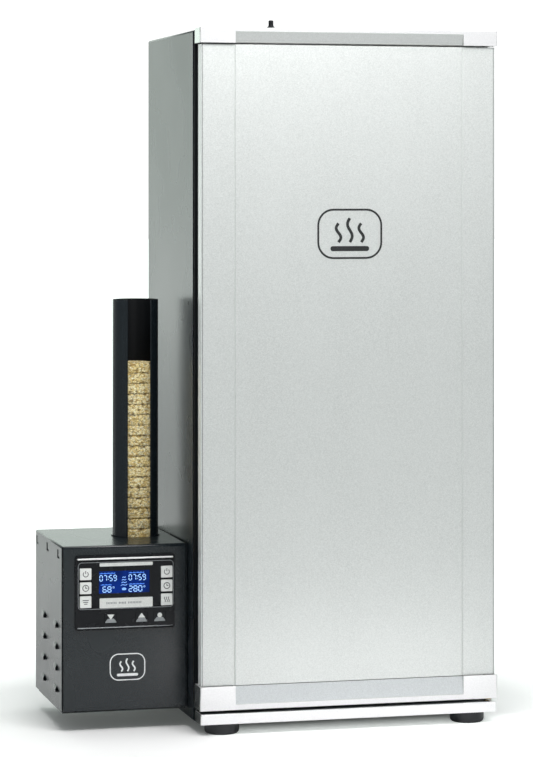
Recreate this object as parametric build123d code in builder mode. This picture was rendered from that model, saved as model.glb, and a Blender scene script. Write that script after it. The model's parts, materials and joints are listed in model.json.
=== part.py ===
from build123d import *

import os
from math import acos, cos, pi, radians, sin, tan

os.makedirs("parts", exist_ok=True)

# Electric cabinet smoker, millimetres: +X to the hinge side, +Y to the back, +Z up.
# It is drawn about the middle of the cabinet, and the files are written about the middle of
# the whole footprint, which lies further left because of the smoke generator.
MIDDLE_X = -91.35
MIDDLE_Y = 11.5

# ---- driving dimensions ----------------------------------------------------------------
GAP = 0.1  # assembly gap between pieces that rest on each other
SHEET = 1.0  # folded steel sheet

HALF_WIDTH = 216.0
FRONT = -171.0  # front face of the door caps
REAR = 171.0  # outside of the back panel
FOOT_TOP = 15.3
FOOT_RADIUS = 24.25
FOOT_X = 179.0
FOOT_FRONT_Y = -144.0
FOOT_REAR_Y = 140.0
FOOT_STUD = 4.0

SHELL_TOP = 976.0
SHELL_FRONT = -125.8
SHELL_REAR = REAR - SHEET - 0.05
SHELL_BOTTOM = FOOT_TOP + SHEET + 2 * GAP
REAR_LIP_FOOT = 40.0
REAR_LIP = 14.0

LINER_HALF = 191.0
LINER_FRONT = -125.7
LINER_REAR = 147.0
LINER_BOTTOM = 58.0
LINER_TOP = 951.0
LINER_SHEET = 0.8

PLINTH_FRONT = -170.0
PLINTH_REAR = -134.0
PLINTH_HALF = 214.8
PLINTH_TOP = 29.7

FRAME_FRONT = -131.5
FRAME_HALF = 214.5
FRAME_BOTTOM = 40.2
FRAME_TOP = 973.8
MOUTH_HALF = 189.6
MOUTH_BOTTOM = 60.0
MOUTH_TOP = 949.6

CAP_BOTTOM = 34.4
CAP_LOWER_EDGE = 67.7
CAP_UPPER_EDGE = 956.8
CAP_TOP = 978.0
CAP_REAR = -138.3
CAP_WALL = 2.5
GRIP_HALF = 165.4
GRIP_DEPTH = 12.0
GRIP_LIP = 1.5
PANEL_FRONT = -166.0
PANEL_REAR = -148.0
PANEL_HALF = 213.3
PANEL_BOTTOM = CAP_LOWER_EDGE + 0.3
PANEL_TOP = CAP_UPPER_EDGE - 2.0
GROOVE = 1.0

HINGE_X = 207.6
HINGE_Y = -151.0
PIN_RADIUS = 3.0
RUNNING = 0.05  # radial clearance of every turning fit
BRACKET_SHEET = 1.5

VENT_X = 0.0
VENT_Y = 40.0
VENT_RADIUS = 75.0
DAMPER_RADIUS = 64.0
VENT_HOLE = 17.0
VENT_HOLE_CIRCLE = 34.0
VENT_BORE = 52.0
VENT_TURN = 45.0
KNOB_X = -59.7
KNOB_Y = 44.0
KNOB_TOP = 1001.5

GEN_WIDTH = 177.9
GEN_DEPTH = 211.4
GEN_RIGHT = -217.2
GEN_LEFT = GEN_RIGHT - GEN_WIDTH
GEN_FRONT = -94.0
GEN_REAR = GEN_FRONT + GEN_DEPTH
GEN_BOTTOM = 28.3
GEN_TOP = 257.8
GEN_INSET = 3.4
GEN_SIDE_INSET = 1.2
GEN_BEND = 4.0
GEN_LIP = GEN_BEND + 0.3
COVER_GAP = 2.0  # the cover stops this far behind the front panel

TUBE_X = GEN_LEFT + 127.5
TUBE_Y = GEN_FRONT + 112.8
TUBE_RADIUS = 32.8
TUBE_WALL = 1.6
TUBE_TOP = 596.6
TUBE_SLOT = 33.0  # half angle of the front slot
TUBE_FOOT = 166.5

BISCUIT_RADIUS = 30.0
BISCUIT_HEIGHT = 14.7
BISCUIT_PITCH = 14.86
BISCUITS = 23
TRACK_TOP = 149.9
STROKE = 61.0
THROAT_X = TUBE_X + STROKE
BURNER_X = THROAT_X + STROKE

RACK_LEVELS = [330.0 + 110.0 * level for level in range(6)]
RACK_HALF = 183.5
RACK_FRONT = -117.5
RACK_REAR = 120.0
RACK_ROD = 2.5
RACK_WIRE = 1.3
RACK_WIRES = 19

MODULE = 1.5
PINION_TEETH = 16
PINION_X = TUBE_X - 41.0
PITCH_RADIUS = MODULE * PINION_TEETH / 2
PITCH_Z = 143.0
PINION_Z = PITCH_Z - PITCH_RADIUS
ADDENDUM = 1.2
DEDENDUM = 1.8
TOOTH = pi * MODULE / 2 - 0.3
PRESSURE = radians(20)

SCREW_SHANK = 1.7
SCREW_HOLE = 1.85
SCREW_HEAD = 3.5


# ---- shared forms ----------------------------------------------------------------------
def slab(x0, x1, y0, y1, z0, z1, mode=Mode.ADD):
    """Block between two opposite corners."""
    with BuildSketch(Plane.XY.offset(z0)) as outline:
        with Locations(((x0 + x1) / 2, (y0 + y1) / 2)):
            Rectangle(x1 - x0, y1 - y0)
    extrude(outline.sketch, amount=z1 - z0, mode=mode)


def rounded_slab(x0, x1, y0, y1, z0, z1, radius, mode=Mode.ADD):
    """Block between two opposite corners with rounded upright edges."""
    with BuildSketch(Plane.XY.offset(z0)) as outline:
        with Locations(((x0 + x1) / 2, (y0 + y1) / 2)):
            RectangleRounded(x1 - x0, y1 - y0, radius)
    extrude(outline.sketch, amount=z1 - z0, mode=mode)


def front_slab(x0, x1, z0, z1, y0, y1, radius, mode=Mode.ADD):
    """Block whose corners are rounded as seen from the front."""
    with BuildSketch(Plane.XZ.offset(-y1)) as outline:
        with Locations(((x0 + x1) / 2, (z0 + z1) / 2)):
            RectangleRounded(x1 - x0, z1 - z0, radius)
    extrude(outline.sketch, amount=y1 - y0, mode=mode)


def front_ring(half_out, half_in, out_z, in_z, y0, y1, out_radius, in_radius):
    """Upright frame round an opening, seen from the front; the z arguments are (low, high)."""
    front_slab(-half_out, half_out, out_z[0], out_z[1], y0, y1, out_radius)
    front_slab(-half_in, half_in, in_z[0], in_z[1], y0, y1, in_radius, Mode.SUBTRACT)


def rod(start, end, radius, mode=Mode.ADD):
    """Round bar, or round hole, from one point to another."""
    way = Vector(*end) - Vector(*start)
    with BuildSketch(Plane(origin=start, z_dir=way)) as section:
        Circle(radius)
    extrude(section.sketch, amount=way.length, mode=mode)


def upright(x, y, z0, z1, radius, mode=Mode.ADD):
    """Vertical round bar or hole."""
    rod((x, y, z0), (x, y, z1), radius, mode)


def turned(x, y, outline):
    """Body turned about a vertical axis from (radius, height) points."""
    with BuildSketch(Plane(origin=(x, y, 0), x_dir=(1, 0, 0), z_dir=(0, -1, 0))) as half:
        with BuildLine():
            Polyline(*outline, close=True)
        make_face()
    revolve(half.sketch, Axis((x, y, 0), (0, 0, 1)))


def side_profile(points, x0, x1, mode=Mode.ADD):
    """Outline of (y, z) points drawn out from x0 to x1."""
    with BuildSketch(Plane.YZ.offset(x0)) as outline:
        with BuildLine():
            Polyline(*points, close=True)
        make_face()
    extrude(outline.sketch, amount=x1 - x0, mode=mode)


def plan_profile(points, z0, z1, mode=Mode.ADD):
    """Outline of (x, y) points drawn up from z0 to z1."""
    with BuildSketch(Plane.XY.offset(z0)) as outline:
        with BuildLine():
            Polyline(*points, close=True)
        make_face()
    extrude(outline.sketch, amount=z1 - z0, mode=mode)


def folded_wrap(half, middle, z0, z1, y0, y1, sheet, bend):
    """Left side, top and right side folded from one sheet."""
    with BuildSketch(Plane.XZ.offset(-y1)) as section:
        with Locations((middle, (z0 + z1) / 2)):
            Rectangle(2 * half, z1 - z0)
        fillet(section.vertices().group_by(Axis.Y)[-1], bend)
    with BuildSketch(Plane.XZ.offset(-y1)) as inside:
        with Locations((middle, (z0 + z1 - sheet) / 2)):
            Rectangle(2 * (half - sheet), z1 - z0 - sheet)
        fillet(inside.vertices().group_by(Axis.Y)[-1], bend - sheet)
    extrude(section.sketch, amount=y1 - y0)
    extrude(inside.sketch, amount=y1 - y0, mode=Mode.SUBTRACT)


def save(piece, name):
    """Move a finished piece to the middle of the footprint, label it and write its file."""
    placed = piece.part.moved(Location((-MIDDLE_X, -MIDDLE_Y, 0)))
    placed.label = name
    export_step(placed, f"parts/{name}.step")


# ---- openings shared by several walls ---------------------------------------------------
THROAT_Y = (TUBE_Y - 38.0, TUBE_Y + 38.0)
THROAT_Z = (140.0, 190.0)
HEATER_X = 30.0
HEATER_Z = 120.0
HEATER_Y = 122.0
HEATER_ROD = 4.0
PROBE_X = 100.0
PROBE_Z = 285.0
PROBE_RADIUS = 2.5
BOX_HALF = 60.0
BOX_Z = (85.0, 175.0)
BOX_REAR = 194.0

BACK_SCREWS = [(side * (HALF_WIDTH - 8), z) for side in (-1, 1) for z in (60, 280, 500, 720, 940)]
BACK_SCREWS += [(side * 80.0, SHELL_TOP - 8) for side in (-1, 1)]
BRACKET_SCREWS_Y = (-104.0, -88.0)
LOWER_SCREWS_X = (194.0, 207.0)
LOWER_SCREW_Z = 35.5
VENT_SCREWS = [
    (VENT_X + 70 * cos(radians(a)), VENT_Y + 70 * sin(radians(a))) for a in (30, 110, 250, 330)
]
CHASSIS_SCREWS = [(x, y) for x in (GEN_LEFT + 18, GEN_RIGHT - 18) for y in (GEN_FRONT + 24, GEN_REAR - 23)]


def throat_cut(x0, x1):
    """Opening in a side wall for the burner tray."""
    slab(x0, x1, THROAT_Y[0], THROAT_Y[1], THROAT_Z[0], THROAT_Z[1], Mode.SUBTRACT)


# ---- cabinet ---------------------------------------------------------------------------
with BuildPart() as cabinet_shell:
    folded_wrap(HALF_WIDTH, 0, SHELL_BOTTOM, SHELL_TOP, SHELL_FRONT, SHELL_REAR, SHEET, 3.0)
    for side in (-1, 1):
        inner = side * (HALF_WIDTH - SHEET)
        edge = side * (HALF_WIDTH - REAR_LIP)
        slab(min(inner, edge), max(inner, edge), SHELL_REAR - SHEET, SHELL_REAR, REAR_LIP_FOOT,
             SHELL_TOP - SHEET)
    slab(-HALF_WIDTH + 5, HALF_WIDTH - 5, SHELL_REAR - SHEET, SHELL_REAR, SHELL_TOP - REAR_LIP,
         SHELL_TOP - SHEET)
    throat_cut(-HALF_WIDTH - 1, -HALF_WIDTH + SHEET + 1)
    upright(VENT_X, VENT_Y, SHELL_TOP - 3, SHELL_TOP + 1, VENT_BORE, Mode.SUBTRACT)
    for x, z in BACK_SCREWS:
        rod((x, SHELL_REAR - 3, z), (x, SHELL_REAR + 1, z), SCREW_HOLE, Mode.SUBTRACT)
    for y in BRACKET_SCREWS_Y:
        upright(HINGE_X, y, SHELL_TOP - 3, SHELL_TOP + 1, SCREW_HOLE, Mode.SUBTRACT)
    for x, y in VENT_SCREWS:
        upright(x, y, SHELL_TOP - 3, SHELL_TOP + 1, SCREW_HOLE, Mode.SUBTRACT)
save(cabinet_shell, "cabinet_shell")

with BuildPart() as back_panel:
    front_slab(-HALF_WIDTH + 0.5, HALF_WIDTH - 0.5, SHELL_BOTTOM, SHELL_TOP - 0.5, REAR - SHEET, REAR, 3.0)
    for z in (330, 520, 710, 880):
        with BuildSketch(Plane.XZ.offset(-REAR + 0.2)) as bead:
            with Locations((0, z)):
                SlotOverall(300, 16)
        extrude(bead.sketch, amount=-1.4)
    fillet(back_panel.faces().group_by(Axis.Y)[-1].edges(), 0.9)
    for side in (-1, 1):
        rod((side * HEATER_X, 160, HEATER_Z), (side * HEATER_X, 175, HEATER_Z), HEATER_ROD + 1, Mode.SUBTRACT)
    for x, z in BACK_SCREWS:
        rod((x, 160, z), (x, 175, z), SCREW_HOLE, Mode.SUBTRACT)
save(back_panel, "back_panel")

with BuildPart() as base_panel:
    floor = FOOT_TOP + GAP
    half = HALF_WIDTH - SHEET - GAP
    slab(-HALF_WIDTH + 0.5, HALF_WIDTH - 0.5, PLINTH_REAR + GAP, SHELL_REAR, floor, floor + SHEET)
    for side in (-1, 1):
        flange = sorted((side * half, side * (half - SHEET)))
        slab(flange[0], flange[1], SHELL_FRONT + GAP, SHELL_REAR - 1.2, floor, 36.0)
    slab(-half, half, SHELL_FRONT + GAP, SHELL_FRONT + GAP + SHEET, floor, FRAME_BOTTOM - 0.3)
    cover = PLINTH_TOP + GAP
    slab(-PLINTH_HALF + 2, HINGE_X - 20, PLINTH_FRONT + 1.2, SHELL_FRONT + GAP + SHEET, cover, cover + SHEET)
    slab(HINGE_X - 21, HINGE_X - 3, PLINTH_FRONT + 1.2, HINGE_Y - 7, cover, cover + SHEET)
    slab(-half, half, SHELL_REAR - 2.2, SHELL_REAR - 1.2, floor, 36.0)
    for side in (-1, 1):
        upright(side * FOOT_X, FOOT_REAR_Y, floor - 1, floor + 2, FOOT_STUD + 0.2, Mode.SUBTRACT)
    for x in LOWER_SCREWS_X:
        rod((x, SHELL_FRONT - 2, LOWER_SCREW_Z), (x, SHELL_FRONT + 3, LOWER_SCREW_Z), SCREW_HOLE,
            Mode.SUBTRACT)
save(base_panel, "base_panel")

with BuildPart() as plinth:
    rounded_slab(-PLINTH_HALF, PLINTH_HALF, PLINTH_FRONT, PLINTH_REAR + 4, FOOT_TOP + GAP, PLINTH_TOP, 2.5)
    slab(-PLINTH_HALF - 1, PLINTH_HALF + 1, PLINTH_REAR, PLINTH_REAR + 5, FOOT_TOP, PLINTH_TOP + 1,
         Mode.SUBTRACT)
    fillet(plinth.faces().sort_by(Axis.Z)[-1].edges().sort_by(Axis.Y)[:3], 0.8)
    slab(-PLINTH_HALF + CAP_WALL, PLINTH_HALF - CAP_WALL, PLINTH_FRONT + CAP_WALL, PLINTH_REAR + 1,
         FOOT_TOP + GAP + CAP_WALL, PLINTH_TOP - CAP_WALL, Mode.SUBTRACT)
    for side in (-1, 1):
        upright(side * FOOT_X, FOOT_FRONT_Y, FOOT_TOP - 1, FOOT_TOP + 4, FOOT_STUD + 0.2, Mode.SUBTRACT)
save(plinth, "plinth")

with BuildPart() as feet:
    for x in (-FOOT_X, FOOT_X):
        for y in (FOOT_FRONT_Y, FOOT_REAR_Y):
            turned(x, y, [
                (0, 3), (9, 3), (9, 0), (FOOT_RADIUS - 2.5, 0), (FOOT_RADIUS - 0.6, 2), (FOOT_RADIUS, 5),
                (FOOT_RADIUS, FOOT_TOP), (FOOT_STUD, FOOT_TOP), (FOOT_STUD, FOOT_TOP + 4.5),
                (0, FOOT_TOP + 4.5),
            ])
save(feet, "feet")

with BuildPart() as front_frame:
    front_ring(FRAME_HALF, MOUTH_HALF, (FRAME_BOTTOM, FRAME_TOP), (MOUTH_BOTTOM, MOUTH_TOP),
               FRAME_FRONT, SHELL_FRONT - GAP, 4.0, 9.0)
save(front_frame, "front_frame")

with BuildPart() as inner_liner:
    slab(-LINER_HALF, LINER_HALF, LINER_FRONT, LINER_REAR, LINER_BOTTOM, LINER_TOP)
    slab(-LINER_HALF + LINER_SHEET, LINER_HALF - LINER_SHEET, LINER_FRONT - 1, LINER_REAR - LINER_SHEET,
         LINER_BOTTOM + LINER_SHEET, LINER_TOP - LINER_SHEET, Mode.SUBTRACT)
    throat_cut(-LINER_HALF - 1, -LINER_HALF + 2)
    upright(VENT_X, VENT_Y, LINER_TOP - 3, LINER_TOP + 1, VENT_BORE, Mode.SUBTRACT)
    for side in (-1, 1):
        rod((side * HEATER_X, LINER_REAR - 3, HEATER_Z), (side * HEATER_X, LINER_REAR + 1, HEATER_Z),
            HEATER_ROD + 0.3, Mode.SUBTRACT)
    rod((PROBE_X, LINER_REAR - 3, PROBE_Z), (PROBE_X, LINER_REAR + 1, PROBE_Z), PROBE_RADIUS + 0.3,
        Mode.SUBTRACT)
save(inner_liner, "inner_liner")

WOOL_HALF = 212.5
with BuildPart() as wall_insulation:
    slab(-WOOL_HALF, WOOL_HALF, LINER_FRONT, 163.0, FRAME_BOTTOM, 968.0)
    slab(-LINER_HALF - 0.2, LINER_HALF + 0.2, LINER_FRONT - 1, LINER_REAR + 0.2, LINER_BOTTOM - 0.2,
         LINER_TOP + 0.2, Mode.SUBTRACT)
    throat_cut(-HALF_WIDTH - 1, -LINER_HALF + 1)
    upright(VENT_X, VENT_Y, LINER_TOP, 969.0, VENT_BORE + 1, Mode.SUBTRACT)
    for side in (-1, 1):
        rod((side * HEATER_X, LINER_REAR, HEATER_Z), (side * HEATER_X, 164, HEATER_Z), HEATER_ROD + 3,
            Mode.SUBTRACT)
    rod((PROBE_X, LINER_REAR, PROBE_Z), (PROBE_X, 164, PROBE_Z), PROBE_RADIUS + 3, Mode.SUBTRACT)
save(wall_insulation, "wall_insulation")

RAIL_IN = 178.0
RAIL_OUT = LINER_HALF - LINER_SHEET - 0.2
RAIL_FRONT = -118.0
RAIL_REAR = 125.0
with BuildPart() as rack_guides:
    for side in (-1, 1):
        post = sorted((side * RAIL_OUT, side * (RAIL_OUT - 1.2)))
        leg = sorted((side * (RAIL_OUT - 1.2), side * (RAIL_OUT - 2.2)))
        shelf = sorted((side * (RAIL_OUT - 1.2), side * RAIL_IN))
        for y in (-95.0, 105.0):
            slab(post[0], post[1], y - 6, y + 6, 300, 900)
        for level in RACK_LEVELS:
            slab(leg[0], leg[1], RAIL_FRONT, RAIL_REAR, level - 8, level)
            slab(shelf[0], shelf[1], RAIL_FRONT, RAIL_REAR, level - 1, level)
            slab(shelf[0], shelf[1], RAIL_REAR - 1, RAIL_REAR, level - 1, level + 8)
save(rack_guides, "rack_guides")

with BuildPart() as drip_tray:
    tray_z = LINER_BOTTOM + LINER_SHEET + GAP
    rounded_slab(-168, 168, -116, 101, tray_z + 17, tray_z + 17.8, 16)
    rounded_slab(-160, 160, -108, 93, tray_z, tray_z + 17.8, 12)
    rounded_slab(-159.2, 159.2, -107.2, 92.2, tray_z + 0.8, tray_z + 19, 11.2, Mode.SUBTRACT)
save(drip_tray, "drip_tray")

BOWL_X = -80.0
with BuildPart() as water_bowl:
    bowl_z = LINER_BOTTOM + 2 * LINER_SHEET + 2 * GAP
    turned(BOWL_X, TUBE_Y, [
        (0, bowl_z), (42, bowl_z), (48, bowl_z + 4), (60, bowl_z + 58), (65, bowl_z + 58),
        (65, bowl_z + 58.8),
        (59.3, bowl_z + 58.8), (47.3, bowl_z + 4.5), (41.5, bowl_z + 0.8), (0, bowl_z + 0.8),
    ])
save(water_bowl, "water_bowl")

with BuildPart() as oven_heater:
    far = 150.0
    with BuildLine() as element:
        FilletPolyline(
            (-HEATER_X, 186, HEATER_Z), (-HEATER_X, HEATER_Y, HEATER_Z), (-far, HEATER_Y, HEATER_Z),
            (-far, HEATER_Y, HEATER_Z + 50), (far, HEATER_Y, HEATER_Z + 50), (far, HEATER_Y, HEATER_Z),
            (HEATER_X, HEATER_Y, HEATER_Z), (HEATER_X, 186, HEATER_Z), radius=13,
        )
    with BuildSketch(Plane(origin=(-HEATER_X, 186, HEATER_Z), z_dir=(0, -1, 0))) as sheath:
        Circle(HEATER_ROD)
    sweep(sheath.sketch, path=element.line)
    for side in (-1, 1):
        front_slab(side * HEATER_X - 11, side * HEATER_X + 11, HEATER_Z - 11, HEATER_Z + 11,
                   LINER_REAR - LINER_SHEET - 1.7, LINER_REAR - LINER_SHEET - GAP, 4.0)
save(oven_heater, "oven_heater")

with BuildPart() as temperature_probe:
    rod((PROBE_X, 72, PROBE_Z), (PROBE_X, 166, PROBE_Z), PROBE_RADIUS)
    rod((PROBE_X, 142, PROBE_Z), (PROBE_X, LINER_REAR - LINER_SHEET - GAP, PROBE_Z), 8.0)
    fillet(temperature_probe.edges().sort_by(Axis.Y)[0], 1.5)
save(temperature_probe, "temperature_probe")

with BuildPart() as terminal_box:
    front_slab(-BOX_HALF, BOX_HALF, BOX_Z[0], BOX_Z[1], REAR + GAP, BOX_REAR, 6.0)
    fillet(terminal_box.faces().sort_by(Axis.Y)[-1].edges(), 3.0)
    front_slab(-BOX_HALF + 2, BOX_HALF - 2, BOX_Z[0] + 2, BOX_Z[1] - 2, REAR, BOX_REAR - 2, 4.0,
               Mode.SUBTRACT)
    rod((-BOX_HALF - 1, 184, 110), (-BOX_HALF + 3, 184, 110), 6.2, Mode.SUBTRACT)
save(terminal_box, "terminal_box")

with BuildPart() as hinge_brackets:
    low = SHELL_TOP + GAP
    slab(HINGE_X - 7, HINGE_X + 7, HINGE_Y, -78, low, low + BRACKET_SHEET)
    upright(HINGE_X, HINGE_Y, low, low + BRACKET_SHEET, 7.0)
    slab(HINGE_X - 18, HINGE_X + 6, HINGE_Y, SHELL_FRONT - GAP, PLINTH_TOP + GAP,
         PLINTH_TOP + GAP + BRACKET_SHEET)
    upright(HINGE_X, HINGE_Y, PLINTH_TOP + GAP, PLINTH_TOP + GAP + BRACKET_SHEET, 6.0)
    slab(HINGE_X - 18, HINGE_X + 6, SHELL_FRONT - GAP - 1.2, SHELL_FRONT - GAP, PLINTH_TOP + GAP,
         FRAME_BOTTOM - 0.4)
    upright(HINGE_X, HINGE_Y, low - 1, low + 3, PIN_RADIUS + RUNNING, Mode.SUBTRACT)
    upright(HINGE_X, HINGE_Y, PLINTH_TOP, PLINTH_TOP + 3, PIN_RADIUS + RUNNING, Mode.SUBTRACT)
    for y in BRACKET_SCREWS_Y:
        upright(HINGE_X, y, low - 1, low + 3, SCREW_HOLE, Mode.SUBTRACT)
    for x in LOWER_SCREWS_X:
        rod((x, SHELL_FRONT - 3, LOWER_SCREW_Z), (x, SHELL_FRONT, LOWER_SCREW_Z), SCREW_HOLE, Mode.SUBTRACT)
save(hinge_brackets, "hinge_brackets")

with BuildPart() as hinge_pins:
    upright(HINGE_X, HINGE_Y, PLINTH_TOP + GAP, 57.0, PIN_RADIUS)
    upright(HINGE_X, HINGE_Y, PLINTH_TOP + 2 * GAP + BRACKET_SHEET, CAP_BOTTOM - GAP, 6.0)
    upright(HINGE_X, HINGE_Y, 962.0, SHELL_TOP + GAP + BRACKET_SHEET, PIN_RADIUS)
save(hinge_pins, "hinge_pins")


# ---- vent ------------------------------------------------------------------------------
def vent_holes(z0, z1, turn):
    """Four round openings about the vent's middle."""
    for quarter in range(4):
        a = radians(turn + 90 * quarter)
        upright(VENT_X + VENT_HOLE_CIRCLE * cos(a), VENT_Y + VENT_HOLE_CIRCLE * sin(a), z0, z1, VENT_HOLE,
                Mode.SUBTRACT)


VENT_Z = SHELL_TOP + GAP
DAMPER_Z = VENT_Z + 1.5 + GAP
with BuildPart() as vent_base:
    upright(VENT_X, VENT_Y, VENT_Z, VENT_Z + 1.5, VENT_RADIUS)
    vent_holes(VENT_Z - 1, VENT_Z + 3, 0)
    upright(VENT_X, VENT_Y, VENT_Z, DAMPER_Z + 2.0, 4.0)
    upright(VENT_X, VENT_Y, DAMPER_Z + 1.3, DAMPER_Z + 3.0, 7.0)
    for x, y in VENT_SCREWS:
        upright(x, y, VENT_Z - 1, VENT_Z + 3, SCREW_HOLE, Mode.SUBTRACT)
save(vent_base, "vent_base")

with BuildPart() as vent_damper:
    upright(VENT_X, VENT_Y, DAMPER_Z, DAMPER_Z + 1.2, DAMPER_RADIUS)
    vent_holes(DAMPER_Z - 1, DAMPER_Z + 3, VENT_TURN)
    upright(VENT_X, VENT_Y, DAMPER_Z - 1, DAMPER_Z + 3, 4.0 + RUNNING, Mode.SUBTRACT)
save(vent_damper, "vent_damper")

with BuildPart() as vent_knob:
    foot = DAMPER_Z + 1.2 + 0.02
    turned(KNOB_X, KNOB_Y, [
        (0, foot), (4.0, foot), (3.2, foot + 5), (3.4, KNOB_TOP - 14), (5.6, KNOB_TOP - 13),
        (5.6, KNOB_TOP - 10),
        (3.9, KNOB_TOP - 8.6), (3.5, KNOB_TOP - 6.5), (3.6, KNOB_TOP - 1.2), (2.4, KNOB_TOP), (0, KNOB_TOP),
    ])
save(vent_knob, "vent_knob")


# ---- door ------------------------------------------------------------------------------
def skin_line(front, half, groove):
    """Front run of the door skin in plan, from left to right, with its two pressed grooves."""
    line = [(-half, PANEL_REAR), (-half, front)]
    for x in (-GRIP_HALF, GRIP_HALF):
        line += [(x - groove, front), (x, front + GROOVE), (x + groove, front)]
    return line + [(half, front), (half, PANEL_REAR)]


with BuildPart() as door_skin:
    outside = skin_line(PANEL_FRONT, PANEL_HALF, 1.3)
    inside = skin_line(PANEL_FRONT + SHEET, PANEL_HALF - SHEET, 1.0)
    with BuildSketch(Plane.XY.offset(PANEL_BOTTOM)) as skin_plan:
        with BuildLine():
            Polyline(*outside, *reversed(inside), close=True)
        make_face()
        corners = skin_plan.vertices().filter_by(
            lambda v: v.Y < PANEL_FRONT + 0.1 and abs(v.X) > PANEL_HALF - 0.1)
        fillet(corners, 1.2)
    extrude(skin_plan.sketch, amount=PANEL_TOP - PANEL_BOTTOM)
save(door_skin, "door_skin")


def cap_section(panel_z, end_z, flush_z, depth):
    """Section of a hollow door cap: the front wall leans back from flush_z to form the grip."""
    up = 1 if end_z > panel_z else -1
    front_in = FRONT + CAP_WALL
    wall = [(front_in, panel_z), (FRONT, panel_z)]
    if depth:
        lip_z = panel_z + up * GRIP_LIP
        wall = [(front_in, flush_z), (front_in + depth, lip_z), (front_in + depth, panel_z),
                (FRONT + depth, panel_z), (FRONT + depth, lip_z), (FRONT, flush_z)]
    return [
        (FRONT, end_z), (CAP_REAR, end_z), (CAP_REAR, panel_z), (CAP_REAR - CAP_WALL, panel_z),
        (CAP_REAR - CAP_WALL, end_z - up * CAP_WALL), (front_in, end_z - up * CAP_WALL), *wall,
    ]


def cap_cheek(panel_z, flush_z):
    """Wedge that closes one end of the grip."""
    return [(FRONT, flush_z), (FRONT, panel_z), (FRONT + GRIP_DEPTH + CAP_WALL, panel_z),
            (FRONT + CAP_WALL, flush_z)]


def cap_body(panel_z, end_z, flush_z):
    """Hollow moulding over one end of the door, with a long finger grip and a hinge boss."""
    low, high = sorted((panel_z, end_z))
    side_profile(cap_section(panel_z, end_z, flush_z, GRIP_DEPTH), -GRIP_HALF, GRIP_HALF)
    for side in (-1, 1):
        run = sorted((side * GRIP_HALF, side * HALF_WIDTH))
        side_profile(cap_section(panel_z, end_z, flush_z, 0.0), run[0], run[1])
        cheek = sorted((side * GRIP_HALF, side * (GRIP_HALF + CAP_WALL)))
        side_profile(cap_cheek(panel_z, flush_z), cheek[0], cheek[1])
        end = sorted((side * (HALF_WIDTH - CAP_WALL), side * HALF_WIDTH))
        slab(end[0], end[1], FRONT, CAP_REAR, low, high)
    upright(HINGE_X, HINGE_Y, low, high, 7.0)


def cap_rounding(cap, end_z):
    """Soften the outside corners of a cap."""
    uprights = cap.edges().filter_by(Axis.Z).filter_by(
        lambda e: abs(abs(e.center().X) - HALF_WIDTH) < 0.01 and abs(e.center().Y - FRONT) < 0.01)
    fillet(uprights, 2.0)
    rim = cap.edges().filter_by(
        lambda e: abs(e.center().Z - end_z) < 0.01 and abs(e.center().Y - FRONT) < 2.2)
    fillet(rim, 0.9)


with BuildPart() as door_cap_top:
    cap_body(CAP_UPPER_EDGE, CAP_TOP, CAP_TOP - 5.0)
    slab(HINGE_X - 11, HALF_WIDTH, HINGE_Y - 16.5, CAP_REAR, SHELL_TOP - 3, SHELL_TOP)
    slab(HINGE_X - 8.5, HALF_WIDTH + 1, HINGE_Y - 14.5, CAP_REAR + 1, SHELL_TOP - 0.2, CAP_TOP + 1,
         Mode.SUBTRACT)
    upright(HINGE_X, HINGE_Y, CAP_UPPER_EDGE - 1, CAP_TOP, PIN_RADIUS + RUNNING, Mode.SUBTRACT)
    cap_rounding(door_cap_top, CAP_TOP)
save(door_cap_top, "door_cap_top")

with BuildPart() as door_cap_bottom:
    cap_body(CAP_LOWER_EDGE, CAP_BOTTOM, CAP_BOTTOM + 7.6)
    upright(HINGE_X, HINGE_Y, CAP_BOTTOM - 1, CAP_LOWER_EDGE + 1, PIN_RADIUS + RUNNING, Mode.SUBTRACT)
    cap_rounding(door_cap_bottom, CAP_BOTTOM)
save(door_cap_bottom, "door_cap_bottom")

LINER_EDGE = PANEL_HALF - 1.3
with BuildPart() as door_liner:
    back = CAP_REAR - GAP
    slab(-LINER_EDGE, LINER_EDGE, PANEL_REAR + 0.2, back, PANEL_BOTTOM, PANEL_TOP)
    slab(-LINER_EDGE + 1.2, LINER_EDGE - 1.2, PANEL_REAR - 1, back - 1.2, PANEL_BOTTOM + 1.2, PANEL_TOP - 1.2,
         Mode.SUBTRACT)
save(door_liner, "door_liner")

with BuildPart() as door_insulation:
    wool_half = LINER_EDGE - 1.4
    slab(-wool_half, wool_half, PANEL_FRONT + SHEET + GROOVE + 0.2, CAP_REAR - GAP - 1.4, PANEL_BOTTOM + 1.4,
         PANEL_TOP - 1.4)
save(door_insulation, "door_insulation")

with BuildPart() as door_gasket:
    front_ring(204.0, 192.5, (45.0, 964.0), (57.0, 952.0), CAP_REAR + GAP, FRAME_FRONT - GAP, 9.0, 6.0)
    fillet(door_gasket.faces().sort_by(Axis.Y)[-1].edges(), 1.8)
save(door_gasket, "door_gasket")


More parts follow.
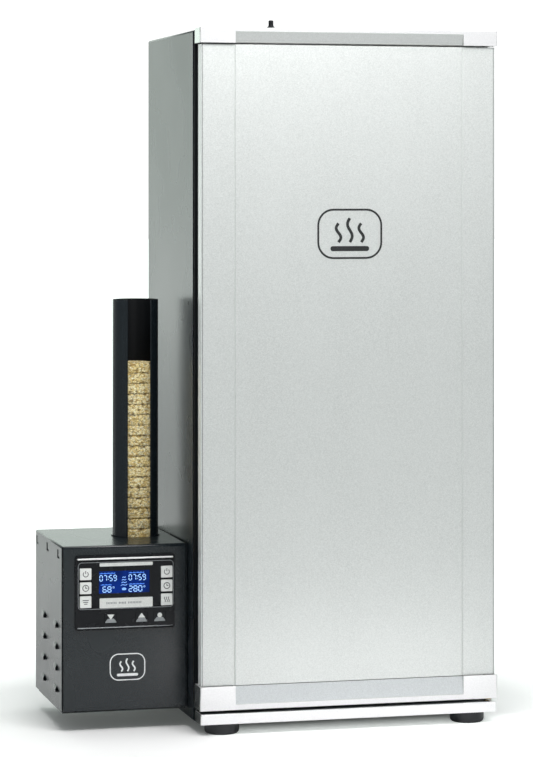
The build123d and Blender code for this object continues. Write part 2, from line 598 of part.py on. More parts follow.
# ---- wire racks ------------------------------------------------------------------------
with BuildPart() as wire_rack:
    z = RACK_LEVELS[0] + GAP + RACK_ROD
    corner = 14.0
    with BuildLine() as loop:
        FilletPolyline((0, RACK_FRONT, z), (RACK_HALF, RACK_FRONT, z), (RACK_HALF, RACK_REAR, z),
                       (0, RACK_REAR, z),
                       radius=corner)
    with BuildSketch(Plane(origin=(0, RACK_FRONT, z), z_dir=(1, 0, 0))) as rim_section:
        Circle(RACK_ROD)
    sweep(rim_section.sketch, path=loop.line)
    mirror(about=Plane.YZ)
    for y in (-40.0, 43.0):
        rod((-RACK_HALF, y, z - 0.4), (RACK_HALF, y, z - 0.4), 2.0)
    for wire in range(RACK_WIRES):
        x = (2 * wire / (RACK_WIRES - 1) - 1) * (RACK_HALF - corner - 2)
        rod((x, RACK_FRONT, z + 1.7), (x, RACK_REAR, z + 1.7), RACK_WIRE)

for number, level in enumerate(RACK_LEVELS):
    rack_name = f"wire_rack_{number + 1}"
    with BuildPart() as shelf_copy:
        add(wire_rack.part.moved(Location((0, 0, level - RACK_LEVELS[0]))))
    save(shelf_copy, rack_name)


# ---- smoke generator: casing -------------------------------------------------------------
LOUVRE_PUSH = 3.6
LOUVRE_EDGE = 0.8
LOUVRE_FOOT = [(0.0, 5.4), (11.0, -5.4), (-46.0, -4.0), (-26.0, 7.6)]  # apex, toe, tail, crown
LOUVRE_PEAK = [(7.5, -2.2), (10.6, -5.0), (5.0, -4.8), (5.6, -2.8)]


def louvre(y, z, outside):
    """Punched hood on the left side: the slit leans forward and gapes most at its toe."""
    sections = []
    for outline, reach in ((LOUVRE_FOOT, -1.5), (LOUVRE_PEAK, LOUVRE_PUSH)):
        if not outside:
            middle_u = sum(u for u, _ in outline) / len(outline)
            middle_v = sum(v for _, v in outline) / len(outline)
            shrink = 0.86 if reach < 0 else 0.5
            outline = [(middle_u + (u - middle_u) * shrink + 3 * LOUVRE_EDGE,
                        middle_v + (v - middle_v) * shrink)
                       for u, v in outline]
            reach -= LOUVRE_EDGE
        plane = Plane(origin=(GEN_LEFT - reach, y, z), x_dir=(0, -1, 0), z_dir=(-1, 0, 0))
        with BuildSketch(plane) as rim:
            with BuildLine():
                Polyline(*outline, close=True)
            make_face()
        sections.append(rim.sketch.faces()[0])
    loft(sections, ruled=True, mode=Mode.ADD if outside else Mode.SUBTRACT)


SLOT_FOOT = GEN_BOTTOM + 210.3
with BuildPart() as generator_cover:
    gen_half = (GEN_RIGHT - GEN_LEFT) / 2
    gen_middle = (GEN_RIGHT + GEN_LEFT) / 2
    folded_wrap(gen_half, gen_middle, GEN_BOTTOM, GEN_TOP, GEN_FRONT + COVER_GAP, GEN_REAR, SHEET, 2.5)
    slab(GEN_LEFT + 1.9, GEN_RIGHT - 1.9, GEN_FRONT, GEN_FRONT + GEN_LIP + GAP, GEN_TOP - 5, GEN_TOP + 1,
         Mode.SUBTRACT)
    vents = [(GEN_FRONT + y, z) for y in (41, 138) for z in (118, 88, 58, 28)]
    for y, z in vents:
        louvre(y, GEN_BOTTOM + z, True)
    for y, z in vents:
        louvre(y, GEN_BOTTOM + z, False)
    for y in (29.0, 115.0, 200.0):
        leg_y = GEN_FRONT + y
        slab(GEN_LEFT - 1, GEN_LEFT + 2, leg_y - 3, leg_y + 6, SLOT_FOOT, SLOT_FOOT + 12, Mode.SUBTRACT)
        slab(GEN_LEFT - 1, GEN_LEFT + 2, leg_y - 10, leg_y, SLOT_FOOT, SLOT_FOOT + 3, Mode.SUBTRACT)
    throat_cut(GEN_RIGHT - 2, GEN_RIGHT + 1)
    upright(TUBE_X, TUBE_Y, GEN_TOP - 3, GEN_TOP + 1, TUBE_RADIUS + 0.5, Mode.SUBTRACT)
save(generator_cover, "generator_cover")

BEZEL_X = (GEN_LEFT + 18.4, GEN_LEFT + 159.8)
BEZEL_Z = (GEN_BOTTOM + 112.5, GEN_BOTTOM + 216.5)
with BuildPart() as generator_front:
    left, right = GEN_LEFT + 2.1, GEN_RIGHT - 2.1
    lip = GEN_FRONT + GEN_LIP
    with BuildSketch(Plane.YZ.offset(left)) as panel_section:
        with BuildLine():
            FilletPolyline((GEN_FRONT, GEN_BOTTOM + 0.3), (GEN_FRONT, GEN_TOP), (lip, GEN_TOP),
                           radius=GEN_BEND)
            Line((lip, GEN_TOP), (lip, GEN_TOP - SHEET))
            FilletPolyline((lip, GEN_TOP - SHEET), (GEN_FRONT + SHEET, GEN_TOP - SHEET),
                           (GEN_FRONT + SHEET, GEN_BOTTOM + 0.3), radius=GEN_BEND - SHEET)
            Line((GEN_FRONT + SHEET, GEN_BOTTOM + 0.3), (GEN_FRONT, GEN_BOTTOM + 0.3))
        make_face()
    extrude(panel_section.sketch, amount=right - left)
    for edge in (left, right - SHEET):
        slab(edge, edge + SHEET, GEN_FRONT + 0.5, GEN_FRONT + 11, GEN_BOTTOM + 0.3, GEN_TOP - 4)
    slab(BEZEL_X[0] + 1.5, BEZEL_X[1] - 1.5, GEN_FRONT - 1, GEN_FRONT + 2, BEZEL_Z[0] + 1.5, BEZEL_Z[1] - 1.5,
         Mode.SUBTRACT)
save(generator_front, "generator_front")

CHASSIS_Z = GEN_BOTTOM - 2.4
BACK_WALL = GEN_REAR - 12.0
CORD_X = GEN_LEFT + 98.0
CORD_Z = 84.0
INLET_X = GEN_LEFT + 48.0
INLET_Z = 84.0
with BuildPart() as generator_chassis:
    in_left, in_right = GEN_LEFT + GEN_SIDE_INSET, GEN_RIGHT - GEN_SIDE_INSET
    slab(in_left, in_right, GEN_FRONT + GEN_INSET, BACK_WALL + 1.2, CHASSIS_Z, CHASSIS_Z + 1.2)
    slab(GEN_LEFT + 1.6, GEN_RIGHT - 1.6, BACK_WALL, BACK_WALL + 1.2, GEN_BOTTOM + 0.3, GEN_TOP - 1.8)
    slab(in_left, in_right, BACK_WALL, BACK_WALL + 1.2, CHASSIS_Z, GEN_BOTTOM + 1)
    for edge in (in_left, in_right - 1.2):
        slab(edge, edge + 1.2, GEN_FRONT + 12, BACK_WALL, CHASSIS_Z, 48)
    for edge in (GEN_LEFT + 1.6, GEN_RIGHT - 2.8):
        slab(edge, edge + 1.2, BACK_WALL, GEN_REAR - 1, GEN_BOTTOM + 0.3, GEN_TOP - 1.8)
    slab(in_left, in_right, GEN_FRONT + 12, GEN_FRONT + 13.2, CHASSIS_Z, 46)
    rod((CORD_X, BACK_WALL - 1, CORD_Z), (CORD_X, BACK_WALL + 3, CORD_Z), 8.2, Mode.SUBTRACT)
    slab(INLET_X - 12, INLET_X + 12, BACK_WALL - 1, BACK_WALL + 3, INLET_Z - 8, INLET_Z + 8, Mode.SUBTRACT)
    with BuildSketch(Plane.XZ.offset(-BACK_WALL + 1)) as rear_slots:
        with Locations(((GEN_LEFT + GEN_RIGHT) / 2, 190)):
            with GridLocations(16, 1, 7, 1):
                SlotOverall(46, 5, rotation=90)
    extrude(rear_slots.sketch, amount=-4, mode=Mode.SUBTRACT)
    slab(in_left - 1, in_left + 4, GEN_REAR - 20, GEN_REAR, CHASSIS_Z - 1, GEN_BOTTOM,
         Mode.SUBTRACT)
    for x, y in CHASSIS_SCREWS:
        upright(x, y, CHASSIS_Z - 1, CHASSIS_Z + 3, SCREW_HOLE, Mode.SUBTRACT)
save(generator_chassis, "generator_chassis")

with BuildPart() as throat_gasket:
    slab(GEN_RIGHT + GAP, -HALF_WIDTH - GAP, THROAT_Y[0] - 10, THROAT_Y[1] + 10, THROAT_Z[0] - 10,
         THROAT_Z[1] + 8)
    throat_cut(GEN_RIGHT, -HALF_WIDTH)
save(throat_gasket, "throat_gasket")


# ---- smoke generator: controls -----------------------------------------------------------
KEY = 16.2
KEY_FRONT = GEN_FRONT - 4.2
FACE_FRONT = GEN_FRONT - 2.6
LEFT_KEYS_X = GEN_LEFT + 33.0
RIGHT_KEYS_X = GEN_LEFT + 148.3
KEYS_Z = [GEN_BOTTOM + 190.9 - 19.4 * row for row in range(3)]
ARROWS_X = [GEN_LEFT + x for x in (68.7, 112.5, 138.3)]
ARROW_Z = GEN_BOTTOM + 128.5
ARROW = (17.0, 14.0)
FACE_X = (GEN_LEFT + 21.8, GEN_LEFT + 158.4)
FACE_Z = (GEN_BOTTOM + 141.0, GEN_BOTTOM + 207.5)
WINDOW_X = (GEN_LEFT + 52.1, GEN_LEFT + 124.0)
WINDOW_Z = (GEN_BOTTOM + 163.0, GEN_BOTTOM + 194.0)


def key_hole(x, z, width, height):
    """Opening round a key, open front to back."""
    front_slab(x - width / 2 - 0.25, x + width / 2 + 0.25, z - height / 2 - 0.25, z + height / 2 + 0.25,
               GEN_FRONT - 6, GEN_FRONT + 6, 1.4, Mode.SUBTRACT)


with BuildPart() as control_bezel:
    front_slab(BEZEL_X[0], BEZEL_X[1], BEZEL_Z[0], BEZEL_Z[1], GEN_FRONT - 2.8, GEN_FRONT - GAP, 4.0)
    front_slab(BEZEL_X[0] + 3.3, BEZEL_X[1] - 3.3, BEZEL_Z[0] + 3.3, BEZEL_Z[1] - 3.3, GEN_FRONT - 1,
               GEN_FRONT + 4, 2.0)
    front_slab(BEZEL_X[0] + 5, BEZEL_X[1] - 5, BEZEL_Z[0] + 5, BEZEL_Z[1] - 5, GEN_FRONT - 0.6,
               GEN_FRONT + 5, 2.0, Mode.SUBTRACT)
    for ridge_z in (BEZEL_Z[0] + 2.2, BEZEL_Z[1] - 4.4):
        rod((BEZEL_X[0] + 2.5, GEN_FRONT - 2.9, ridge_z), (BEZEL_X[1] - 2.5, GEN_FRONT - 2.9, ridge_z), 1.5)
    front_slab(FACE_X[0], FACE_X[1], FACE_Z[0], FACE_Z[1], GEN_FRONT - 6, GEN_FRONT + 6, 5.0, Mode.SUBTRACT)
    for x in ARROWS_X:
        key_hole(x, ARROW_Z, ARROW[0], ARROW[1])
save(control_bezel, "control_bezel")

with BuildPart() as control_face:
    front_slab(FACE_X[0] + 0.15, FACE_X[1] - 0.15, FACE_Z[0] + 0.15, FACE_Z[1] - 0.15, FACE_FRONT,
               FACE_FRONT + 2.0, 4.85)
    front_slab(WINDOW_X[0], WINDOW_X[1], WINDOW_Z[0], WINDOW_Z[1], FACE_FRONT - 1, FACE_FRONT + 3, 1.0,
               Mode.SUBTRACT)
    for x in (LEFT_KEYS_X, RIGHT_KEYS_X):
        for z in KEYS_Z:
            key_hole(x, z, KEY, KEY)
save(control_face, "control_face")

with BuildPart() as lcd_display:
    front_slab(WINDOW_X[0] + 0.15, WINDOW_X[1] - 0.15, WINDOW_Z[0] + 0.15, WINDOW_Z[1] - 0.15,
               FACE_FRONT + 0.5, FACE_FRONT + 3, 0.8)
    front_slab(WINDOW_X[0] - 3, WINDOW_X[1] + 3, WINDOW_Z[0] - 3, WINDOW_Z[1] + 3, FACE_FRONT + 2.1,
               FACE_FRONT + 6.5, 1.0)
save(lcd_display, "lcd_display")


def key_cap(x, z, width, height, front):
    """Push key with a hidden flange that keeps it in the panel."""
    front_slab(x - width / 2, x + width / 2, z - height / 2, z + height / 2, front, FACE_FRONT + 3.2, 1.2)
    grow = 0.9
    front_slab(x - width / 2 - grow, x + width / 2 + grow, z - height / 2 - grow, z + height / 2 + grow,
               FACE_FRONT + 2.2, FACE_FRONT + 3.2, 1.2)


KEYS = {
    "key_left_top": (LEFT_KEYS_X, KEYS_Z[0]),
    "key_left_middle": (LEFT_KEYS_X, KEYS_Z[1]),
    "key_left_bottom": (LEFT_KEYS_X, KEYS_Z[2]),
    "key_right_top": (RIGHT_KEYS_X, KEYS_Z[0]),
    "key_right_middle": (RIGHT_KEYS_X, KEYS_Z[1]),
    "key_right_bottom": (RIGHT_KEYS_X, KEYS_Z[2]),
}
for key_name, (x, z) in KEYS.items():
    with BuildPart() as key:
        key_cap(x, z, KEY, KEY, KEY_FRONT)
        fillet(key.faces().sort_by(Axis.Y)[0].edges(), 0.5)
    save(key, key_name)

for key_name, x in zip(("key_down", "key_up", "key_unit"), ARROWS_X):
    with BuildPart() as key:
        key_cap(x, ARROW_Z, ARROW[0], ARROW[1], GEN_FRONT - 3.2)
        fillet(key.faces().sort_by(Axis.Y)[0].edges(), 0.3)
    save(key, key_name)

BOARD_Y = GEN_FRONT + 7.0
with BuildPart() as control_board:
    slab(BEZEL_X[0] + 6, BEZEL_X[1] - 6, BOARD_Y, BOARD_Y + 1.6, BEZEL_Z[0] + 6, BEZEL_Z[1] - 6)
    switches = [place for place in KEYS.values()] + [(x, ARROW_Z) for x in ARROWS_X]
    for x, z in switches:
        slab(x - 3, x + 3, BOARD_Y - 3.5, BOARD_Y + 0.1, z - 3, z + 3)
        rod((x, BOARD_Y - 4.6, z), (x, BOARD_Y, z), 1.6)
    slab(GEN_LEFT + 60, GEN_LEFT + 84, BOARD_Y + 1.5, BOARD_Y + 18, GEN_BOTTOM + 150, GEN_BOTTOM + 166)
    rod((GEN_LEFT + 110, BOARD_Y + 1, GEN_BOTTOM + 160),
        (GEN_LEFT + 110, BOARD_Y + 20, GEN_BOTTOM + 160), 8.0)
save(control_board, "control_board")


# ---- smoke generator: biscuit feed --------------------------------------------------------
def tube_ring(inner, outer, z0, z1):
    """Round wall about the tube's axis."""
    with BuildSketch(Plane.XY.offset(z0)) as ring:
        with Locations((TUBE_X, TUBE_Y)):
            Circle(outer)
            Circle(inner, mode=Mode.SUBTRACT)
    extrude(ring.sketch, amount=z1 - z0)


with BuildPart() as feeder_tube:
    bore = TUBE_RADIUS - TUBE_WALL
    tube_ring(bore, TUBE_RADIUS, TUBE_FOOT, TUBE_TOP)
    tube_ring(bore + 0.8, TUBE_RADIUS + 2.0, GEN_TOP + GAP, GEN_TOP + 1.8)
    reach = TUBE_RADIUS + 8
    spread = reach * tan(radians(TUBE_SLOT))
    plan_profile([(TUBE_X, TUBE_Y), (TUBE_X - spread, TUBE_Y - reach), (TUBE_X + spread, TUBE_Y - reach)],
                 GEN_TOP + GAP, TUBE_TOP + 1, Mode.SUBTRACT)
    for side in (-1, 1):
        middle = TUBE_RADIUS - TUBE_WALL / 2
        lip_angle = radians(TUBE_SLOT)
        upright(TUBE_X + side * middle * sin(lip_angle), TUBE_Y - middle * cos(lip_angle), GEN_TOP + GAP,
                TUBE_TOP, 1.2)
save(feeder_tube, "feeder_tube")

with BuildPart() as wood_biscuits:
    for count in range(BISCUITS):
        low = TRACK_TOP + GAP + BISCUIT_HEIGHT + 0.3 + BISCUIT_PITCH * count
        upright(TUBE_X, TUBE_Y, low, low + BISCUIT_HEIGHT, BISCUIT_RADIUS)
save(wood_biscuits, "wood_biscuits")

with BuildPart() as feed_biscuits:
    for x in (TUBE_X, THROAT_X):
        upright(x, TUBE_Y, TRACK_TOP + GAP, TRACK_TOP + GAP + BISCUIT_HEIGHT, BISCUIT_RADIUS)
save(feed_biscuits, "feed_biscuits")

TRACK_LEFT = GEN_LEFT + 5.9
TRACK_RIGHT = TUBE_X + TUBE_RADIUS + 0.3
TRACK_FLOOR = TRACK_TOP - 1.5
TRACK_HALF = BISCUIT_RADIUS + 0.6
PUSHER_LEFT = TUBE_X - 112.5
PUSHER = (PUSHER_LEFT, TUBE_X - BISCUIT_RADIUS - 0.8)
RACK_BAR = (PUSHER_LEFT, PUSHER_LEFT + 78.0)
BAR_Y = (TUBE_Y - 4, TUBE_Y + 4)
MOTOR_FACE = TUBE_Y + 9.5
with BuildPart() as feed_track:
    slab(TRACK_LEFT, TRACK_RIGHT, TUBE_Y - TRACK_HALF - 1.2, TUBE_Y + TRACK_HALF + 1.2, TRACK_FLOOR,
         TRACK_TOP)
    for wall in (TUBE_Y - TRACK_HALF - 1.2, TUBE_Y + TRACK_HALF):
        slab(TRACK_LEFT, TRACK_RIGHT, wall, wall + 1.2, TRACK_FLOOR, TRACK_TOP + 14)
    for leg in (TRACK_LEFT, TRACK_RIGHT - 11.6):
        slab(leg, leg + 1.2, TUBE_Y - 28, TUBE_Y + 28, CHASSIS_Z + 1.4, TRACK_FLOOR)
    slab(PINION_X - 28, PINION_X + 28, MOTOR_FACE - 1.4, MOTOR_FACE - 0.2, 104, TRACK_FLOOR)
    slab(PUSHER_LEFT - 4, TUBE_X + 28, BAR_Y[0] - 0.6, BAR_Y[1] + 0.6, 138, TRACK_TOP + 1, Mode.SUBTRACT)
    rod((PINION_X, MOTOR_FACE - 3, PINION_Z), (PINION_X, MOTOR_FACE, PINION_Z), 8.0, Mode.SUBTRACT)
save(feed_track, "feed_track")


def rack_line():
    """Lower edge of the pusher's toothed bar, from left to right, as (x, z)."""
    pitch = pi * MODULE
    tip = TOOTH / 2 - ADDENDUM * tan(PRESSURE)
    root = TOOTH / 2 + DEDENDUM * tan(PRESSURE)
    line = [(RACK_BAR[0], PITCH_Z + DEDENDUM)]
    first = int((PINION_X - RACK_BAR[0] - root) // pitch)
    last = int((RACK_BAR[1] - PINION_X - root) // pitch)
    for tooth in range(-first, last + 1):
        x = PINION_X + tooth * pitch
        line += [(x - root, PITCH_Z + DEDENDUM), (x - tip, PITCH_Z - ADDENDUM), (x + tip, PITCH_Z - ADDENDUM),
                 (x + root, PITCH_Z + DEDENDUM)]
    return line + [(RACK_BAR[1], PITCH_Z + DEDENDUM)]


with BuildPart() as pusher_plate:
    slab(PUSHER[0], PUSHER[1], TUBE_Y - BISCUIT_RADIUS, TUBE_Y + BISCUIT_RADIUS, TRACK_TOP + 0.2,
         TRACK_TOP + GAP + BISCUIT_HEIGHT)
    with BuildSketch(Plane.XZ.offset(-BAR_Y[1])) as bar_section:
        with BuildLine():
            Polyline(*rack_line(), (RACK_BAR[1], TRACK_TOP + 1), (RACK_BAR[0], TRACK_TOP + 1), close=True)
        make_face()
    extrude(bar_section.sketch, amount=BAR_Y[1] - BAR_Y[0])
save(pusher_plate, "pusher_plate")


def involute_half_angle(radius):
    """Half the angle a pinion tooth covers at a radius."""
    base = PITCH_RADIUS * cos(PRESSURE)
    lean = acos(min(1.0, base / radius))
    at_pitch = TOOTH / (2 * PITCH_RADIUS)
    return at_pitch + (tan(PRESSURE) - PRESSURE) - (tan(lean) - lean)


def pinion_outline():
    """Closed outline of the pinion about its own axis; a space faces straight up."""
    base = PITCH_RADIUS * cos(PRESSURE)
    root = PITCH_RADIUS - DEDENDUM
    radii = [base, (base + PITCH_RADIUS) / 2, PITCH_RADIUS, PITCH_RADIUS + ADDENDUM]
    outline = []
    for tooth in range(PINION_TEETH):
        middle = pi / 2 + (tooth + 0.5) * 2 * pi / PINION_TEETH
        flank = [(root, involute_half_angle(base))] + [(r, involute_half_angle(r)) for r in radii]
        outline += [(r * cos(middle - half), r * sin(middle - half)) for r, half in flank]
        outline += [(r * cos(middle + half), r * sin(middle + half)) for r, half in reversed(flank)]
    return outline


MOTOR_BORE = 12.0
with BuildPart() as drive_pinion:
    gear_plane = Plane(origin=(PINION_X, BAR_Y[1] - 0.6, PINION_Z), x_dir=(1, 0, 0), z_dir=(0, -1, 0))
    with BuildSketch(gear_plane) as gear:
        with BuildLine():
            Polyline(*pinion_outline(), close=True)
        make_face()
    extrude(gear.sketch, amount=BAR_Y[1] - BAR_Y[0] - 1.2)
    rod((PINION_X, BAR_Y[0] - 2, PINION_Z), (PINION_X, BAR_Y[1] + 2, PINION_Z), 6.0)
    rod((PINION_X, BAR_Y[0] - 4, PINION_Z), (PINION_X, MOTOR_FACE + MOTOR_BORE - 1, PINION_Z), PIN_RADIUS)
save(drive_pinion, "drive_pinion")

with BuildPart() as feed_motor:
    front_slab(PINION_X - 24, PINION_X + 24, PINION_Z - 16, PINION_Z + 16, MOTOR_FACE, MOTOR_FACE + 20, 4.0)
    rod((PINION_X + 4, MOTOR_FACE + 19, PINION_Z - 2), (PINION_X + 4, MOTOR_FACE + 56, PINION_Z - 2), 13.0)
    rod((PINION_X, MOTOR_FACE - 1, PINION_Z), (PINION_X, MOTOR_FACE + MOTOR_BORE, PINION_Z),
        PIN_RADIUS + RUNNING, Mode.SUBTRACT)
save(feed_motor, "feed_motor")

TRAY_LEFT = TRACK_RIGHT + 0.2
TRAY_RIGHT = BURNER_X + BISCUIT_RADIUS + 1.5
with BuildPart() as burner_tray:
    slab(TRAY_LEFT, TRAY_RIGHT, TUBE_Y - 34, TUBE_Y + 34, TRACK_FLOOR, TRACK_TOP)
    for wall in (TUBE_Y - 34, TUBE_Y + 32.8):
        slab(TRAY_LEFT, TRAY_RIGHT, wall, wall + 1.2, TRACK_FLOOR, 174)
    side_wall = [(TUBE_Y - 34, 174.0), (TUBE_Y - 22, 186.0), (TUBE_Y + 22, 186.0), (TUBE_Y + 34, 174.0)]
    inner_wall = [(TUBE_Y + 32.8, 174.0), (TUBE_Y + 21.5, 184.8), (TUBE_Y - 21.5, 184.8),
                  (TUBE_Y - 32.8, 174.0)]
    side_profile(side_wall + inner_wall, TRAY_LEFT, -182.0)
    upright(BURNER_X, TUBE_Y, TRACK_FLOOR - 1, TRACK_TOP + 1, 29.5, Mode.SUBTRACT)
save(burner_tray, "burner_tray")

with BuildPart() as burner_plate:
    upright(BURNER_X, TUBE_Y, TRACK_FLOOR - 3.1, TRACK_FLOOR - GAP, 32.5)
    upright(BURNER_X, TUBE_Y, TRACK_FLOOR - 1, TRACK_TOP - 0.1, 29.0)
save(burner_plate, "burner_plate")

with BuildPart() as mains_inlet:
    front_slab(INLET_X - 17, INLET_X + 17, INLET_Z - 12, INLET_Z + 12, BACK_WALL + 1.3, BACK_WALL + 4.3, 3.0)
    front_slab(INLET_X - 11.5, INLET_X + 11.5, INLET_Z - 7.5, INLET_Z + 7.5, BACK_WALL - 18,
               BACK_WALL + 2, 2.0)
    front_slab(INLET_X - 9, INLET_X + 9, INLET_Z - 5.5, INLET_Z + 5.5, BACK_WALL - 12, BACK_WALL + 5, 1.5,
               Mode.SUBTRACT)
    for x in (-5.0, 0.0, 5.0):
        slab(INLET_X + x - 1, INLET_X + x + 1, BACK_WALL - 13, BACK_WALL + 1, INLET_Z - 2, INLET_Z + 2)
save(mains_inlet, "mains_inlet")

with BuildPart() as jumper_cord:
    start = (CORD_X, BACK_WALL + 22, CORD_Z)
    end = (-BOX_HALF - 20, 184, 110)
    with BuildLine() as cord:
        Spline(start, (CORD_X + 47, 178, 66), (-166, 187, 74), end, tangents=[(0, 1, 0), (1, 0, 0)])
    with BuildSketch(Plane(origin=start, z_dir=(0, 1, 0))) as jacket:
        Circle(3.5)
    sweep(jacket.sketch, path=cord.line)
    rod((CORD_X, BACK_WALL - 8, CORD_Z), (CORD_X, BACK_WALL + 8, CORD_Z), 8.0)
    rod((CORD_X, BACK_WALL + 7, CORD_Z), (CORD_X, BACK_WALL + 24, CORD_Z), 6.0)
    rod((-BOX_HALF - 22, 184, 110), (-BOX_HALF + 8, 184, 110), 6.0)
save(jumper_cord, "jumper_cord")


# ---- assembly screws ---------------------------------------------------------------------
def pan_screw(place, way, length):
    """Pan-head screw: place is the seat under the head, way points into the joint."""
    seat = Plane(origin=place, z_dir=way)
    with BuildSketch(seat) as shank:
        Circle(SCREW_SHANK)
    extrude(shank.sketch, amount=length)
    with BuildSketch(seat.offset(-GAP)) as head:
        Circle(SCREW_HEAD)
    extrude(head.sketch, amount=-1.4)
    with BuildSketch(seat.offset(-GAP - 1.4)) as crown:
        Circle(SCREW_HEAD)
    extrude(crown.sketch, amount=-0.8, taper=35)
    with BuildSketch(seat.offset(-0.01)) as neck:
        Circle(SCREW_SHANK)
    extrude(neck.sketch, amount=-0.5)
    with BuildSketch(seat.offset(-2.4)) as cross:
        Rectangle(3.6, 0.7)
        Rectangle(0.7, 3.6)
    extrude(cross.sketch, amount=1.2, mode=Mode.SUBTRACT)


with BuildPart() as screws:
    for x, z in BACK_SCREWS:
        pan_screw((x, REAR, z), (0, -1, 0), 6.0)
    for y in BRACKET_SCREWS_Y:
        pan_screw((HINGE_X, y, SHELL_TOP + GAP + BRACKET_SHEET), (0, 0, -1), 6.0)
    for x in LOWER_SCREWS_X:
        pan_screw((x, SHELL_FRONT - GAP - 1.2, LOWER_SCREW_Z), (0, 1, 0), 6.0)
    for x, y in VENT_SCREWS:
        pan_screw((x, y, VENT_Z + 1.5), (0, 0, -1), 6.0)
    for x, y in CHASSIS_SCREWS:
        pan_screw((x, y, CHASSIS_Z), (0, 0, 1), 6.0)
save(screws, "screws")
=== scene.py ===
"""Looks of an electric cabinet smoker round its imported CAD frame. Metres, +Z up, door towards -Y."""

import json
import math

import bmesh
import bpy
from mathutils import Matrix, Vector, noise


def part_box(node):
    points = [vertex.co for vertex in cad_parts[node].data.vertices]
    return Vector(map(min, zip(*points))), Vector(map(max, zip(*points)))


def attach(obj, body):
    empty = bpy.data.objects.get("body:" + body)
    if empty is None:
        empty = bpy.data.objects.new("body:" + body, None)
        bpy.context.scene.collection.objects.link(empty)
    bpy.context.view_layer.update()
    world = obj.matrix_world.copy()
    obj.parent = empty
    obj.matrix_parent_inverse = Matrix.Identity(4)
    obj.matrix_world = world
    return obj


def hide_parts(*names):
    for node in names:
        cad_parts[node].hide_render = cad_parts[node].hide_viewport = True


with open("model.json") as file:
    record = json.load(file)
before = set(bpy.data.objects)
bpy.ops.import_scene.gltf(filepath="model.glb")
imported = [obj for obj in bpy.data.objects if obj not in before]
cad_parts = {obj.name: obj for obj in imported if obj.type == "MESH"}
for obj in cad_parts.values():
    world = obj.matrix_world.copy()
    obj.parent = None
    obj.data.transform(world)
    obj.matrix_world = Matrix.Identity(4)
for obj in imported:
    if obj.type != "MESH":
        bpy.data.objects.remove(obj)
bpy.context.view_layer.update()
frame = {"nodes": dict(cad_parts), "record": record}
nodes = frame["nodes"]
scene = bpy.context.scene
MM = 0.001

skin_low, skin_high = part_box("door_skin")
stack_low, stack_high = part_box("wood_biscuits")
stack_middle = (stack_low + stack_high) / 2
DOOR_AHEAD = 0.166  # from the cabinet's middle to the door's outer face
MIDDLE = Vector(((skin_low.x + skin_high.x) / 2, skin_low.y + DOOR_AHEAD, 0.0))


